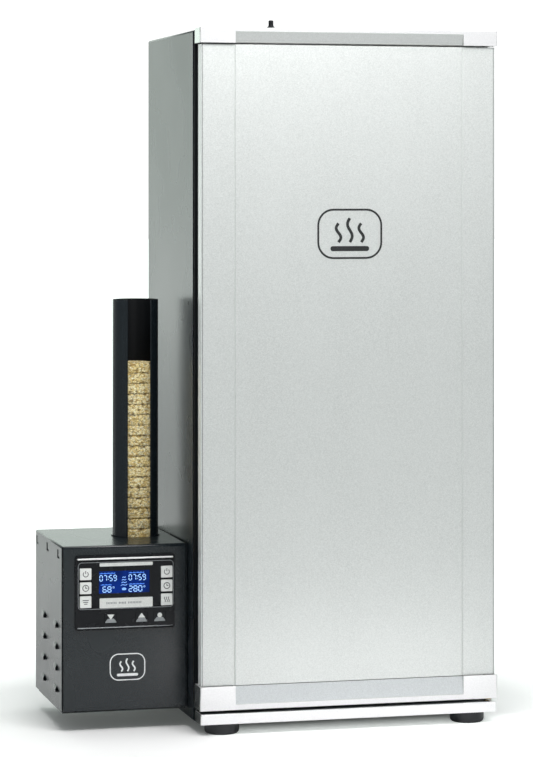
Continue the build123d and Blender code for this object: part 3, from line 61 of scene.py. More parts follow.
# ---- node helpers --------------------------------------------------------------------------
class Paint:
    """One material's node tree, built up in short steps."""

    def __init__(self, name, color, rough, metal=0.0, **more):
        self.mat = bpy.data.materials.new(name)
        self.mat.use_nodes = True
        self.tree = self.mat.node_tree
        self.shader = self.tree.nodes["Principled BSDF"]
        self.set("Base Color", (*color, 1.0))
        self.set("Roughness", rough)
        self.set("Metallic", metal)
        for key, value in more.items():
            self.set(key.replace("_", " "), value)
        self.height = None

    def set(self, socket, value):
        self.shader.inputs[socket].default_value = value

    def node(self, kind, **values):
        made = self.tree.nodes.new(kind)
        for key, value in values.items():
            if key in made.inputs:
                made.inputs[key].default_value = value
            else:
                setattr(made, key, value)
        return made

    def link(self, source, target):
        self.tree.links.new(source, target)

    def place(self, stretch=(1, 1, 1)):
        """Object coordinates in metres, stretched by a factor along each axis."""
        coord = self.node("ShaderNodeTexCoord")
        mapping = self.node("ShaderNodeMapping")
        mapping.inputs["Scale"].default_value = stretch
        self.link(coord.outputs["Object"], mapping.inputs["Vector"])
        return mapping.outputs["Vector"]

    def noise(self, size, stretch=(1, 1, 1), detail=3.0, rough=0.55):
        """Noise whose features are about size metres across."""
        made = self.node("ShaderNodeTexNoise", Scale=1.0 / size, Detail=detail, Roughness=rough)
        self.link(self.place(stretch), made.inputs["Vector"])
        return made.outputs["Fac"]

    def cells(self, size, stretch=(1, 1, 1), feature="F1", output="Distance"):
        """Voronoi cells about size metres across."""
        made = self.node("ShaderNodeTexVoronoi", Scale=1.0 / size)
        made.feature = feature
        self.link(self.place(stretch), made.inputs["Vector"])
        return made.outputs[output]

    def remap(self, source, low, high, to_low, to_high):
        made = self.node("ShaderNodeMapRange")
        self.link(source, made.inputs["Value"])
        ends = (("From Min", low), ("From Max", high), ("To Min", to_low), ("To Max", to_high))
        for key, value in ends:
            made.inputs[key].default_value = value
        return made.outputs["Result"]

    def math(self, operation, first, second):
        made = self.node("ShaderNodeMath", operation=operation)
        for slot, value in zip(made.inputs, (first, second)):
            if isinstance(value, (int, float)):
                slot.default_value = value
            else:
                self.link(value, slot)
        return made.outputs["Value"]

    def absolute(self, source):
        """A value without its sign."""
        return self.math("ABSOLUTE", source, 0.0)

    def axes(self, output):
        """The x, y and z parts of the Object or Normal texture coordinates."""
        coord = self.node("ShaderNodeTexCoord")
        split = self.node("ShaderNodeSeparateXYZ")
        self.link(coord.outputs[output], split.inputs[0])
        return split.outputs["X"], split.outputs["Y"], split.outputs["Z"]

    def ramp(self, source, stops):
        """Colour bar with (position, colour) stops."""
        made = self.node("ShaderNodeValToRGB")
        bar = made.color_ramp
        while len(bar.elements) < len(stops):
            bar.elements.new(0.5)
        for element, (at, color) in zip(bar.elements, stops):
            element.position = at
            element.color = (*color, 1.0)
        self.link(source, made.inputs["Fac"])
        return made.outputs["Color"]

    def mix(self, factor, first, second, blend="MIX"):
        made = self.node("ShaderNodeMix", data_type="RGBA", blend_type=blend)
        for index, value in ((0, factor), (6, first), (7, second)):
            if isinstance(value, (int, float, tuple)):
                if isinstance(value, tuple) and len(value) == 3:
                    value = (*value, 1.0)
                made.inputs[index].default_value = value
            else:
                self.link(value, made.inputs[index])
        return made.outputs[2]

    def color(self, source):
        self.link(source, self.shader.inputs["Base Color"])

    def rough(self, source):
        self.link(source, self.shader.inputs["Roughness"])

    def bump(self, source, depth, strength=1.0):
        """Surface relief depth metres high."""
        made = self.node("ShaderNodeBump", Strength=strength, Distance=depth)
        self.link(source, made.inputs["Height"])
        if self.height is not None:
            self.link(self.height, made.inputs["Normal"])
        self.link(made.outputs["Normal"], self.shader.inputs["Normal"])
        self.height = made.outputs["Normal"]

    def edges(self, width, color, amount=0.6):
        """Lighter arrises within width metres of a sharp edge: a painted highlight."""
        made = self.node("ShaderNodeBevel", Radius=width)
        made.samples = 4
        geometry = self.node("ShaderNodeNewGeometry")
        dot = self.node("ShaderNodeVectorMath", operation="DOT_PRODUCT")
        self.link(made.outputs["Normal"], dot.inputs[0])
        self.link(geometry.outputs["Normal"], dot.inputs[1])
        mask = self.remap(dot.outputs["Value"], 1.0, 0.8, 0.0, amount)
        base = self.shader.inputs["Base Color"]
        if base.is_linked:
            source = base.links[0].from_socket
        else:
            source = tuple(base.default_value)
        self.color(self.mix(mask, source, color))


# ---- materials -----------------------------------------------------------------------------
def powder_coat(name, color, rough):
    """Charcoal powder coat: fine orange peel and a faint handling haze."""
    p = Paint(name, color, rough, IOR=1.5)
    p.rough(p.remap(p.noise(0.16, detail=2), 0.3, 0.7, rough - 0.012, rough + 0.016))
    tone = tuple(c * 1.5 for c in color)
    p.color(p.mix(p.remap(p.noise(0.0016), 0.35, 0.65, 0.0, 0.6), color, tone))
    p.bump(p.noise(0.0009, detail=1), 0.000003, 0.3)
    # painted highlight along the coat's arrises
    p.edges(0.0008, tuple(c * 2.5 + 0.02 for c in color), 0.5)
    return p.mat


TUBE_BORE = 0.0317  # radius inside which a face belongs to the tube's bore


def tube_coat(color, rough):
    """The same coat on drawn tube: upright streaks outside; inside the bore, painted shade in a darker
    colour and a dull finish.
    """
    p = Paint("tube_coat", color, rough, IOR=1.5)
    x, y, _ = p.axes("Object")
    dx = p.math("SUBTRACT", x, stack_middle.x)
    dy = p.math("SUBTRACT", y, stack_middle.y)
    reach = p.math("ADD", p.math("MULTIPLY", dx, dx), p.math("MULTIPLY", dy, dy))
    inside = p.math("LESS_THAN", reach, TUBE_BORE ** 2)
    tone = tuple(c * 1.5 for c in color)
    grain = p.mix(p.remap(p.noise(0.0016), 0.35, 0.65, 0.0, 0.6), color, tone)
    # painted shade: the bore's faces take a near-black colour
    p.color(p.mix(inside, grain, (0.002, 0.003, 0.004)))
    p.rough(p.remap(inside, 0.0, 1.0, rough, 0.6))
    p.link(p.remap(inside, 0.0, 1.0, 0.5, 0.16), p.shader.inputs["Specular IOR Level"])
    p.bump(p.noise(0.0035, stretch=(1, 1, 0.004), detail=2), 0.00012, 0.8)
    return p.mat


SHEET_TONES = ((0.57, 0.595, 0.583), (0.73, 0.755, 0.743))
SHEET_METAL = 0.4


def sheet_grain(p):
    """Colour of the silver sheet: speckle of two sizes under a slow cloud."""
    fine = p.noise(0.0010, detail=1)
    coarse = p.noise(0.0026, detail=2)
    speckle = p.math("ADD", p.math("MULTIPLY", fine, 0.7), p.math("MULTIPLY", coarse, 0.3))
    tone = p.mix(p.remap(speckle, 0.32, 0.68, 0, 1), *SHEET_TONES)
    cloud = p.noise(0.06, stretch=(1, 1, 0.35), detail=2)
    return p.mix(p.remap(cloud, 0.3, 0.7, 0.0, 0.2), tone, SHEET_TONES[1]), speckle


FOLD_SHADE_OUT, FOLD_SHADE_IN = 0.2118, 0.2108  # the shade line by the door's side folds, from the middle
SIDE_FACING = 0.7  # faces whose normal has a larger x part than this look sideways


def silver_skin():
    """Door sheet: silver with a fine mottled grain, side returns painted brighter as a highlight and a
    painted shade line at each fold.
    """
    p = Paint("silver_skin", SHEET_TONES[0], 0.4, SHEET_METAL)
    tone, speckle = sheet_grain(p)
    x, _, _ = p.axes("Object")
    across = p.absolute(p.math("SUBTRACT", x, MIDDLE.x))
    within, beyond = p.math("LESS_THAN", across, FOLD_SHADE_OUT), p.math("GREATER_THAN", across, FOLD_SHADE_IN)
    fold_shade = p.math("MULTIPLY", within, beyond)
    # painted shade: a dark line just inside each side fold
    tone = p.mix(p.math("MULTIPLY", fold_shade, 0.75), tone, (0.1, 0.11, 0.11))
    tilt_x, _, _ = p.axes("Normal")
    side = p.math("GREATER_THAN", p.absolute(tilt_x), SIDE_FACING)
    # painted highlight: faces turned sideways take a near-white tone
    p.color(p.mix(side, tone, (0.95, 0.98, 0.96)))
    p.rough(p.remap(speckle, 0.3, 0.7, 0.36, 0.46))
    p.bump(speckle, 0.00004, 0.5)
    return p.mat


GRIP_HALF = 0.1654  # half the length of a door cap's finger grip
GRIP_SLOPE = 0.15  # a normal with y times z above this belongs to a sloping face


def cap_plastic(name, low_tone, high_tone):
    """Silver-white moulded trim with the sheet's grain in its grips; its side ends are painted darker as
    shade and are more mirror-like.
    """
    p = Paint(name, high_tone, 0.3, SHEET_METAL)
    plain = p.mix(p.remap(p.noise(0.0014, detail=2), 0.35, 0.65, 0, 1), low_tone, high_tone)
    x, _, _ = p.axes("Object")
    tilt_x, tilt_y, tilt_z = p.axes("Normal")
    between = p.math("LESS_THAN", p.absolute(p.math("SUBTRACT", x, MIDDLE.x)), GRIP_HALF)
    slope = p.math("MULTIPLY", p.absolute(tilt_y), p.absolute(tilt_z))
    mask = p.math("MULTIPLY", p.math("GREATER_THAN", slope, GRIP_SLOPE), between)
    mask = p.math("MULTIPLY", mask, p.math("LESS_THAN", tilt_y, 0.0))
    tone, _ = sheet_grain(p)
    side = p.math("GREATER_THAN", p.absolute(tilt_x), SIDE_FACING)
    # side faces: a darker tone as painted shade, and below, a smoother and more metallic finish
    p.color(p.mix(side, p.mix(mask, plain, tone), (0.55, 0.575, 0.56)))
    p.rough(p.math("SUBTRACT", p.remap(mask, 0.0, 1.0, 0.3, 0.42), p.math("MULTIPLY", side, 0.14)))
    p.link(p.remap(side, 0.0, 1.0, SHEET_METAL, 0.92), p.shader.inputs["Metallic"])
    p.bump(p.noise(0.0008, detail=2), 0.00003, 0.4)
    return p.mat


def brushed(name, color, rough, along):
    """Brushed sheet metal, grain running along one axis (0, 1 or 2)."""
    stretch = [1.0, 1.0, 1.0]
    stretch[along] = 0.012
    p = Paint(name, color, rough, 1.0)
    lines = p.noise(0.0008, stretch=stretch, detail=3)
    p.rough(p.remap(lines, 0.3, 0.7, rough - 0.06, rough + 0.08))
    dark = tuple(c * 0.86 for c in color)
    p.color(p.mix(p.remap(lines, 0.3, 0.7, 0, 1), dark, color))
    p.bump(lines, 0.00003, 0.3)
    return p.mat


def plain_metal(name, color, rough, fleck=0.002):
    """Plated or turned metal with a faint mottle."""
    p = Paint(name, color, rough, 1.0)
    spots = p.noise(fleck, detail=3)
    p.rough(p.remap(spots, 0.3, 0.7, rough - 0.05, rough + 0.07))
    p.color(p.mix(p.remap(spots, 0.3, 0.7, 0, 1), tuple(c * 0.88 for c in color), color))
    return p.mat


def galvanised():
    """Zinc-coated sheet with its crystal spangle."""
    p = Paint("galvanised", (0.55, 0.56, 0.57), 0.42, 0.9)
    cell = p.cells(0.007, output="Color")
    p.color(p.ramp(cell, [(0.2, (0.43, 0.44, 0.45)), (0.8, (0.52, 0.53, 0.54))]))
    p.rough(p.remap(cell, 0.2, 0.8, 0.4, 0.48))
    return p.mat


def moulded(name, color, rough, grain=0.0007, depth=0.00004, gloss=0.5):
    """Moulded plastic or rubber with a fine texture."""
    p = Paint(name, color, rough, Specular_IOR_Level=gloss)
    p.bump(p.noise(grain, detail=2), depth, 0.5)
    p.rough(p.remap(p.noise(0.03, detail=2), 0.3, 0.7, rough - 0.04, rough + 0.05))
    # painted highlight along the arrises
    p.edges(0.0006, tuple(c * 1.5 + 0.01 for c in color), 0.35)
    return p.mat


def gloss_black():
    """Smooth black control panel plastic."""
    p = Paint("gloss_black", (0.006, 0.007, 0.009), 0.25, Specular_IOR_Level=0.22)
    p.rough(p.remap(p.noise(0.02, detail=3), 0.3, 0.7, 0.22, 0.3))
    p.bump(p.noise(0.0012, detail=2), 0.00002, 0.3)
    return p.mat


def key_white():
    """Printed rubber key: warm white, satin."""
    p = Paint("key_white", (0.8, 0.82, 0.8), 0.5)
    p.bump(p.noise(0.0006, detail=2), 0.00003, 0.5)
    p.color(p.mix(p.remap(p.noise(0.004), 0.3, 0.7, 0, 1), (0.76, 0.78, 0.76), (0.85, 0.87, 0.85)))
    return p.mat


def wool():
    """Mineral wool: tangled fibres."""
    p = Paint("wool", (0.6, 0.55, 0.4), 0.95)
    fibres = p.noise(0.004, stretch=(1, 1, 0.3), detail=6, rough=0.7)
    p.color(p.mix(p.remap(fibres, 0.3, 0.7, 0, 1), (0.5, 0.45, 0.3), (0.7, 0.66, 0.52)))
    p.bump(fibres, 0.002, 0.8)
    return p.mat


def board_green():
    """Circuit board under its solder mask."""
    p = Paint("board_green", (0.02, 0.16, 0.06), 0.35)
    tracks = p.cells(0.004, stretch=(1, 1, 0.2))
    p.color(p.mix(p.remap(tracks, 0.2, 0.5, 0, 1), (0.03, 0.24, 0.09), (0.015, 0.12, 0.05)))
    return p.mat


def pressed_wood():
    """Pressed chips: pale splinters in golden tan, with painted shade in the gaps between chips and
    where the surface is pitted, and a faint painted glow.
    """
    p = Paint("pressed_wood", (0.5, 0.38, 0.18), 0.85, Specular_IOR_Level=0.3)
    chip = p.cells(0.0030, stretch=(1, 1, 1.7), output="Color")
    gap = p.cells(0.0030, stretch=(1, 1, 1.7), feature="DISTANCE_TO_EDGE")
    splinter = p.cells(0.0046, stretch=(1, 1, 2.4), output="Color")
    stops = [(0.1, (0.50, 0.33, 0.11)), (0.35, (0.80, 0.61, 0.24)), (0.6, (0.96, 0.81, 0.40)),
             (0.9, (1.0, 0.96, 0.68))]
    tone = p.ramp(chip, stops)
    tone = p.mix(p.remap(splinter, 0.70, 0.76, 0.0, 0.8), tone, (1.0, 0.92, 0.62))
    # painted shade: darker in the gaps between chips and in dark noise pits
    tone = p.mix(p.remap(gap, 0.0, 0.08, 0.75, 0.0), tone, (0.16, 0.085, 0.022))
    pit = p.noise(0.0055, stretch=(1, 1, 1.6), detail=4, rough=0.75)
    tone = p.mix(p.remap(pit, 0.35, 0.41, 0.88, 0.0), tone, (0.10, 0.05, 0.012))
    # painted shade, deeper where the mesh sinks further into its pits
    depth = p.node("ShaderNodeAttribute", attribute_name="pitting")
    tone = p.mix(p.remap(depth.outputs["Fac"], 0.34, 0.86, 0.0, 0.97), tone, (0.05, 0.026, 0.008))
    p.color(tone)
    # painted glow: the wood emits faintly in its own colour, though it is no lamp
    p.link(tone, p.shader.inputs["Emission Color"])
    p.set("Emission Strength", 0.08)
    p.bump(gap, 0.0006, 0.7)
    p.bump(p.noise(0.0011, detail=3), 0.0003, 0.5)
    return p.mat


def display_blue():
    """Backlit blue display, its glow a little uneven."""
    p = Paint("display_blue", (0.001, 0.004, 0.03), 0.2, Specular_IOR_Level=0.08)
    glow = p.noise(0.02, detail=1)
    p.set("Emission Strength", 1.0)
    tone = p.mix(p.remap(glow, 0.35, 0.65, 0, 1), (0.0005, 0.010, 0.085), (0.001, 0.022, 0.20))
    p.link(tone, p.shader.inputs["Emission Color"])
    return p.mat


def lit(name, color, strength):
    """Glowing marks of the display."""
    p = Paint(name, color, 0.4)
    p.set("Emission Color", (*color, 1.0))
    p.set("Emission Strength", strength)
    p.bump(p.noise(0.0004), 0.00001, 0.2)
    return p.mat


def ink(name, color, rough=0.45):
    """Pad-printed ink: nearly even, slightly broken edge to edge."""
    p = Paint(name, color, rough)
    tone = tuple(min(1.0, c * 1.12 + 0.01) for c in color)
    p.color(p.mix(p.remap(p.noise(0.0015), 0.35, 0.65, 0, 1), color, tone))
    return p.mat


COAT_COLOR = (0.008, 0.0125, 0.0155)
SKINS = {
    "black_coat": powder_coat("black_coat", COAT_COLOR, 0.27),
    "silver_skin": silver_skin(),
    "cap_plastic": cap_plastic("cap_plastic", (0.75, 0.752, 0.76), (0.80, 0.802, 0.81)),
    "stainless": brushed("stainless", (0.62, 0.61, 0.59), 0.3, 0),
    "wire_chrome": plain_metal("wire_chrome", (0.72, 0.72, 0.71), 0.16),
    "galvanised": galvanised(),
    "zinc": plain_metal("zinc", (0.6, 0.59, 0.56), 0.3),
    "brass": plain_metal("brass", (0.75, 0.55, 0.25), 0.28),
    "black_plastic": moulded("black_plastic", (0.006, 0.007, 0.009), 0.5, gloss=0.2),
    "gloss_black": gloss_black(),
    "key_white": key_white(),
    "lcd": display_blue(),
    "board_green": board_green(),
    "rubber": moulded("rubber", (0.014, 0.016, 0.019), 0.5, 0.0012, 0.00006),
    "silicone": moulded("silicone", (0.006, 0.007, 0.008), 0.55, gloss=0.2),
    "wool": wool(),
    "biscuit_wood": pressed_wood(),
    "aluminium": plain_metal("aluminium", (0.66, 0.66, 0.66), 0.45),
}

# Nodes that look a little different from the rest of their slot.
OWN_SKIN = {
    "feeder_tube": tube_coat(COAT_COLOR, 0.24),
    # a lighter copy of the cap plastic: painted light, as the plinth sits low where the lamps reach it
    # less
    "plinth": cap_plastic("plinth_lit_plastic", (0.9, 0.902, 0.91), (0.95, 0.952, 0.96)),
    "key_down": SKINS["gloss_black"],
    "key_up": SKINS["gloss_black"],
    "key_unit": SKINS["gloss_black"],
}

# Sheet and moulded pieces whose outer edges are seen close up, with the radius of their arrises in mm.
SOFT_EDGES = {
    "door_cap_top": 0.7, "door_cap_bottom": 0.7, "plinth": 0.7, "generator_cover": 0.3,
    "cabinet_shell": 0.3, "generator_front": 0.25, "feeder_tube": 0.35, "control_bezel": 0.5,
    "control_face": 0.4, "vent_knob": 0.5, "terminal_box": 0.8, "door_liner": 0.5,
    "mains_inlet": 0.5, "drip_tray": 0.2, "back_panel": 0.2,
}
WELD_REACH = 0.005 * MM
SHARP_ANGLE = math.radians(38)


def soften(obj, radius):
    """Round the sharp arrises of a CAD node by a small radius."""
    weld = obj.modifiers.new("weld", "WELD")
    weld.merge_threshold = WELD_REACH
    bevel = obj.modifiers.new("bevel", "BEVEL")
    bevel.width = radius
    bevel.segments = 2
    bevel.limit_method = "ANGLE"
    bevel.angle_limit = SHARP_ANGLE
    bevel.harden_normals = True


def paint_cad():
    """Give every CAD node its material, and the nodes in SOFT_EDGES small rounded arrises."""
    for row in frame["record"]["subparts"]:
        obj = nodes[row["node"]]
        obj.data.materials.clear()
        obj.data.materials.append(OWN_SKIN.get(row["node"], SKINS[row["material_slot"]]))
        if row["node"] in SOFT_EDGES:
            soften(obj, SOFT_EDGES[row["node"]] * MM)


paint_cad()


# ---- mesh helpers --------------------------------------------------------------------------
def new_piece(name, bm, material, body, smooth_angle=0.6):
    """Turn a bmesh into a piece that rides on a body."""
    bmesh.ops.recalc_face_normals(bm, faces=bm.faces)
    mesh = bpy.data.meshes.new(name)
    bm.to_mesh(mesh)
    bm.free()
    obj = bpy.data.objects.new(name, mesh)
    scene.collection.objects.link(obj)
    mesh.materials.append(material)
    for polygon in mesh.polygons:
        polygon.use_smooth = True
    mesh.set_sharp_from_angle(angle=smooth_angle)
    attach(obj, body)
    return obj


def skin(bm, rings):
    """Faces between closed rings of equal length."""
    for first, second in zip(rings, rings[1:]):
        for i in range(len(first)):
            j = (i + 1) % len(first)
            bm.faces.new((first[i], first[j], second[j], second[i]))


def loft(bm, rings):
    """Skin between rings, closed by a flat face at both ends."""
    skin(bm, rings)
    bm.faces.new(rings[0])
    bm.faces.new(list(reversed(rings[-1])))


def prism(bm, outline, y_front, y_back):
    """Closed prism from an outline of (x, z) points between two depths."""
    loft(bm, [[bm.verts.new((x, y, z)) for x, z in outline] for y in (y_front, y_back)])


def stroke(bm, points, width, y_front, y_back, closed=False):
    """Line of even width along (x, z) points, as a thin raised ribbon."""
    count = len(points)
    left, right = [], []
    for i, (x, z) in enumerate(points):
        if closed:
            before, after = points[i - 1], points[(i + 1) % count]
        else:
            before, after = points[max(i - 1, 0)], points[min(i + 1, count - 1)]
        way = Vector((after[0] - before[0], after[1] - before[1])).normalized()
        side = Vector((-way.y, way.x)) * (width / 2)
        left.append((x + side.x, z + side.y))
        right.append((x - side.x, z - side.y))
    rows = []
    for y in (y_front, y_back):
        rows.append([[bm.verts.new((x, y, z)) for x, z in side_line] for side_line in (left, right)])
    (fl, fr), (bl, br) = rows
    last = count if closed else count - 1
    for i in range(last):
        j = (i + 1) % count
        bm.faces.new((fl[i], fl[j], fr[j], fr[i]))
        bm.faces.new((bl[j], bl[i], br[i], br[j]))
        bm.faces.new((fl[j], fl[i], bl[i], bl[j]))
        bm.faces.new((fr[i], fr[j], br[j], br[i]))
    if not closed:
        bm.faces.new((fl[0], fr[0], br[0], bl[0]))
        bm.faces.new((fr[-1], fl[-1], bl[-1], br[-1]))


def rounded_box(x0, x1, z0, z1, radius, steps=6):
    """Outline of a rectangle with round corners."""
    points = []
    for cx, cz, start in ((x1 - radius, z1 - radius, 0), (x0 + radius, z1 - radius, 90),
                          (x0 + radius, z0 + radius, 180), (x1 - radius, z0 + radius, 270)):
        for step in range(steps + 1):
            a = math.radians(start + 90 * step / steps)
            points.append((cx + radius * math.cos(a), cz + radius * math.sin(a)))
    return points


def circle(cx, cz, radius, steps=32):
    """Outline of a circle."""
    angles = [2 * math.pi * i / steps for i in range(steps)]
    return [(cx + radius * math.cos(a), cz + radius * math.sin(a)) for a in angles]


# ---- grips: a sheet face that fills each finger recess up to the door panel ------------------
def grip_face(node, panel_z, flush_z, up, tone):
    """Wedge in one cap's recess: flush with the cap at flush_z, sunk behind the panel at panel_z."""
    front = cap_top_low.y
    near = panel_z + up * 0.5 * MM
    outline = [(front + 0.4 * MM, flush_z - up * 0.35 * MM), (front + 4.2 * MM, near),
               (front + 11.4 * MM, near), (front + 11.4 * MM, near + up * 1.6 * MM)]
    bm = bmesh.new()
    reach = GRIP_HALF - 0.1 * MM
    loft(bm, [[bm.verts.new((MIDDLE.x + x, y, z)) for y, z in outline] for x in (-reach, reach)])
    p = Paint(node + "_grip", tone, 0.4, SHEET_METAL)
    _, speckle = sheet_grain(p)
    p.color(p.mix(p.remap(speckle, 0.32, 0.68, 0, 1), tone, tuple(c * 1.22 for c in tone)))
    p.bump(speckle, 0.00004, 0.5)
    new_piece(node + "_grip", bm, p.mat, "door", 0.3)


cap_top_low, cap_top_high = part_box("door_cap_top")
cap_bottom_low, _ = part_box("door_cap_bottom")
# The two grips are lit and shaded copies of one sheet tone: the top one faces down and is painted darker
# as shade, the bottom one lighter.
grip_face("door_cap_top", skin_high.z + 2.0 * MM, cap_top_high.z - 5.0 * MM, 1, (0.42, 0.435, 0.43))
grip_face("door_cap_bottom", skin_low.z - 0.3 * MM, cap_bottom_low.z + 7.6 * MM, -1, (0.60, 0.63, 0.64))


# ---- emblems: a rounded frame with three rising wisps over a bar ------------------------------
def emblem(name, cx, cz, width, height, surface_y, color, body):
    """Printed badge centred at cx, cz on a surface that faces -Y."""
    bm = bmesh.new()
    front, back = surface_y - 0.25 * MM, surface_y + 0.02 * MM
    line = width * 0.028
    frame_line = rounded_box(cx - width / 2 + line, cx + width / 2 - line, cz - height / 2 + line,
                             cz + height / 2 - line, height * 0.3, 10)
    stroke(bm, frame_line, line, front, back, closed=True)
    for wisp in (-1, 0, 1):
        tall = height * (0.46 if wisp == 0 else 0.36)
        low = cz - height * 0.16
        points = []
        for step in range(25):
            t = step / 24
            sway = math.sin(t * 2 * math.pi) * width * 0.035
            points.append((cx + wisp * width * 0.17 + sway, low + tall * t))
        stroke(bm, points, line * 1.5, front, back)
    bar = rounded_box(cx - width * 0.29, cx + width * 0.29, cz - height * 0.33, cz - height * 0.235,
                      height * 0.045)
    prism(bm, bar, front, back)
    return new_piece(name, bm, ink(name + "_ink", color), body)


DOOR_EMBLEM_Z = 0.692
emblem("door_emblem", MIDDLE.x, DOOR_EMBLEM_Z, 0.097, 0.073, skin_low.y, (0.012, 0.013, 0.014),
       "door")

gen_low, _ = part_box("generator_front")
cover_low, cover_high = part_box("generator_cover")
COVER_WIDTH = 0.1779  # without the louvres, which stick out on the left
shell_left = cover_high.x - COVER_WIDTH
emblem("generator_emblem", shell_left + 0.093, cover_low.z + 0.0595, 0.052, 0.039, gen_low.y,
       (0.8, 0.82, 0.82), "cabinet")


# ---- control panel graphics ------------------------------------------------------------------
# Places on the panel are measured from the cover's left wall and from its foot.
face_low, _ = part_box("control_face")
bezel_low, bezel_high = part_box("control_bezel")
lcd_low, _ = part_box("lcd_display")
PRINT = ink("panel_print", (0.66, 0.68, 0.66))
# Painted highlights on the bezel's rounded ridges: a near-white bar on the top one, and a dimmer grey
# metal bar on the bottom one, which also reflects.
TOP_RIDGE_HIGHLIGHT = ink("top_ridge_highlight", (0.9, 0.92, 0.92))
LOW_RIDGE_HIGHLIGHT = plain_metal("low_ridge_highlight", (0.3, 0.32, 0.33), 0.3)
GREY_PRINT = ink("grey_print", (0.25, 0.27, 0.28))
KEY_INK = ink("key_ink", (0.03, 0.03, 0.035))
BAR_STEPS = 16
BAR_TOP_Z, BAR_LOW_Z = 0.2117, 0.1158
LABEL_X = (0.0529, 0.1283)
TOP_LABEL_Z = (0.2008, 0.2055)
LOW_LABEL_Z = (0.1427, 0.1565)
OUTLINE_X = (0.0226, 0.1577)
OUTLINE_Z = (0.1418, 0.2067)
TICKS_X = 0.0625
ICON_FOOT_Z = 0.1222
DISPLAY_X, DISPLAY_TOP_Z = 0.0521, 0.194


def bezel_bar(name, height, radius, material):
    """Round bar along the bezel's ridge with blunt ends, carrying a painted highlight."""
    bm = bmesh.new()
    low_x, high_x = bezel_low.x + 2.6 * MM, bezel_high.x - 2.6 * MM
    rings = []
    for x, size in ((low_x, 0.35), (low_x + 0.5 * MM, 0.85), (low_x + 1.1 * MM, 1.0),
                    (high_x - 1.1 * MM, 1.0), (high_x - 0.5 * MM, 0.85), (high_x, 0.35)):
        section = circle(bezel_low.y + 0.1 * MM, cover_low.z + height, radius * size, BAR_STEPS)
        rings.append([bm.verts.new((x, y, z)) for y, z in section])
    loft(bm, rings)
    new_piece(name, bm, material, "cabinet")


def panel_box(across, up, radius):
    """Round-cornered outline on the control panel."""
    return rounded_box(shell_left + across[0], shell_left + across[1], cover_low.z + up[0],
                       cover_low.z + up[1], radius)


def panel_prints():
    """White label strips and the thin outline round the face."""
    y = face_low.y
    bm = bmesh.new()
    prism(bm, panel_box(LABEL_X, TOP_LABEL_Z, 1.0 * MM), y - 0.5 * MM, y + 0.05 * MM)
    prism(bm, panel_box(LABEL_X, LOW_LABEL_Z, 1.2 * MM), y - 0.5 * MM, y + 0.05 * MM)
    new_piece("label_strips", bm, PRINT, "cabinet")
    bm = bmesh.new()
    outline = panel_box(OUTLINE_X, OUTLINE_Z, 5.0 * MM)
    stroke(bm, outline, 0.7 * MM, y - 0.35 * MM, y + 0.05 * MM, closed=True)
    new_piece("panel_outline", bm, GREY_PRINT, "cabinet")


def label_ticks():
    """A row of plain ticks across the lower label, where a caption would be."""
    bm = bmesh.new()
    back = face_low.y - 0.48 * MM
    front = back - 0.1 * MM
    x = shell_left + TICKS_X
    z = cover_low.z + (LOW_LABEL_Z[0] + LOW_LABEL_Z[1]) / 2
    for group in (7, 5, 9):
        for tick in range(group):
            tall = (1.5, 1.2, 1.5, 1.35)[tick % 4] * MM
            wide = 1.3 * MM
            corners = [(x, z - tall), (x + wide, z - tall), (x + wide, z + tall), (x, z + tall)]
            prism(bm, corners, front, back)
            x += 2.15 * MM
        x += 2.6 * MM
    new_piece("label_ticks", bm, GREY_PRINT, "cabinet")


bezel_bar("bezel_bar_top", BAR_TOP_Z, 1.15 * MM, TOP_RIDGE_HIGHLIGHT)
bezel_bar("bezel_bar_bottom", BAR_LOW_Z, 0.7 * MM, LOW_RIDGE_HIGHLIGHT)
panel_prints()
label_ticks()


def arrow_icons():
    """Down, up and unit marks: a white shape over a grey wedge, on each lower key."""
    for node, shape in (("key_down", "down"), ("key_up", "up"), ("key_unit", "unit")):
        low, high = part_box(node)
        cx = (low.x + high.x) / 2
        base = cover_low.z + ICON_FOOT_Z
        front, back = low.y - 0.3 * MM, low.y + 0.02 * MM
        bm = bmesh.new()
        half = [(7.9, 0.0), (7.6, 1.6), (4.3, 5.6)]
        wedge = half + [(-x, z) for x, z in reversed(half)]
        prism(bm, [(cx + x * MM, base + z * MM) for x, z in wedge], front, back)
        new_piece(node + "_wedge", bm, GREY_PRINT, node + "_body")
        bm = bmesh.new()
        raised = front - 0.15 * MM
        if shape == "down":
            mark = [(0.0, 4.2), (5.0, 11.5), (-5.0, 11.5)]
        elif shape == "up":
            mark = [(-5.0, 5.8), (5.0, 5.8), (0.0, 12.4)]
        else:
            mark = circle(0.0, 8.4, 3.3)
        prism(bm, [(cx + x * MM, base + z * MM) for x, z in mark], raised, back)
        new_piece(node + "_icon", bm, PRINT, node + "_body")


arrow_icons()


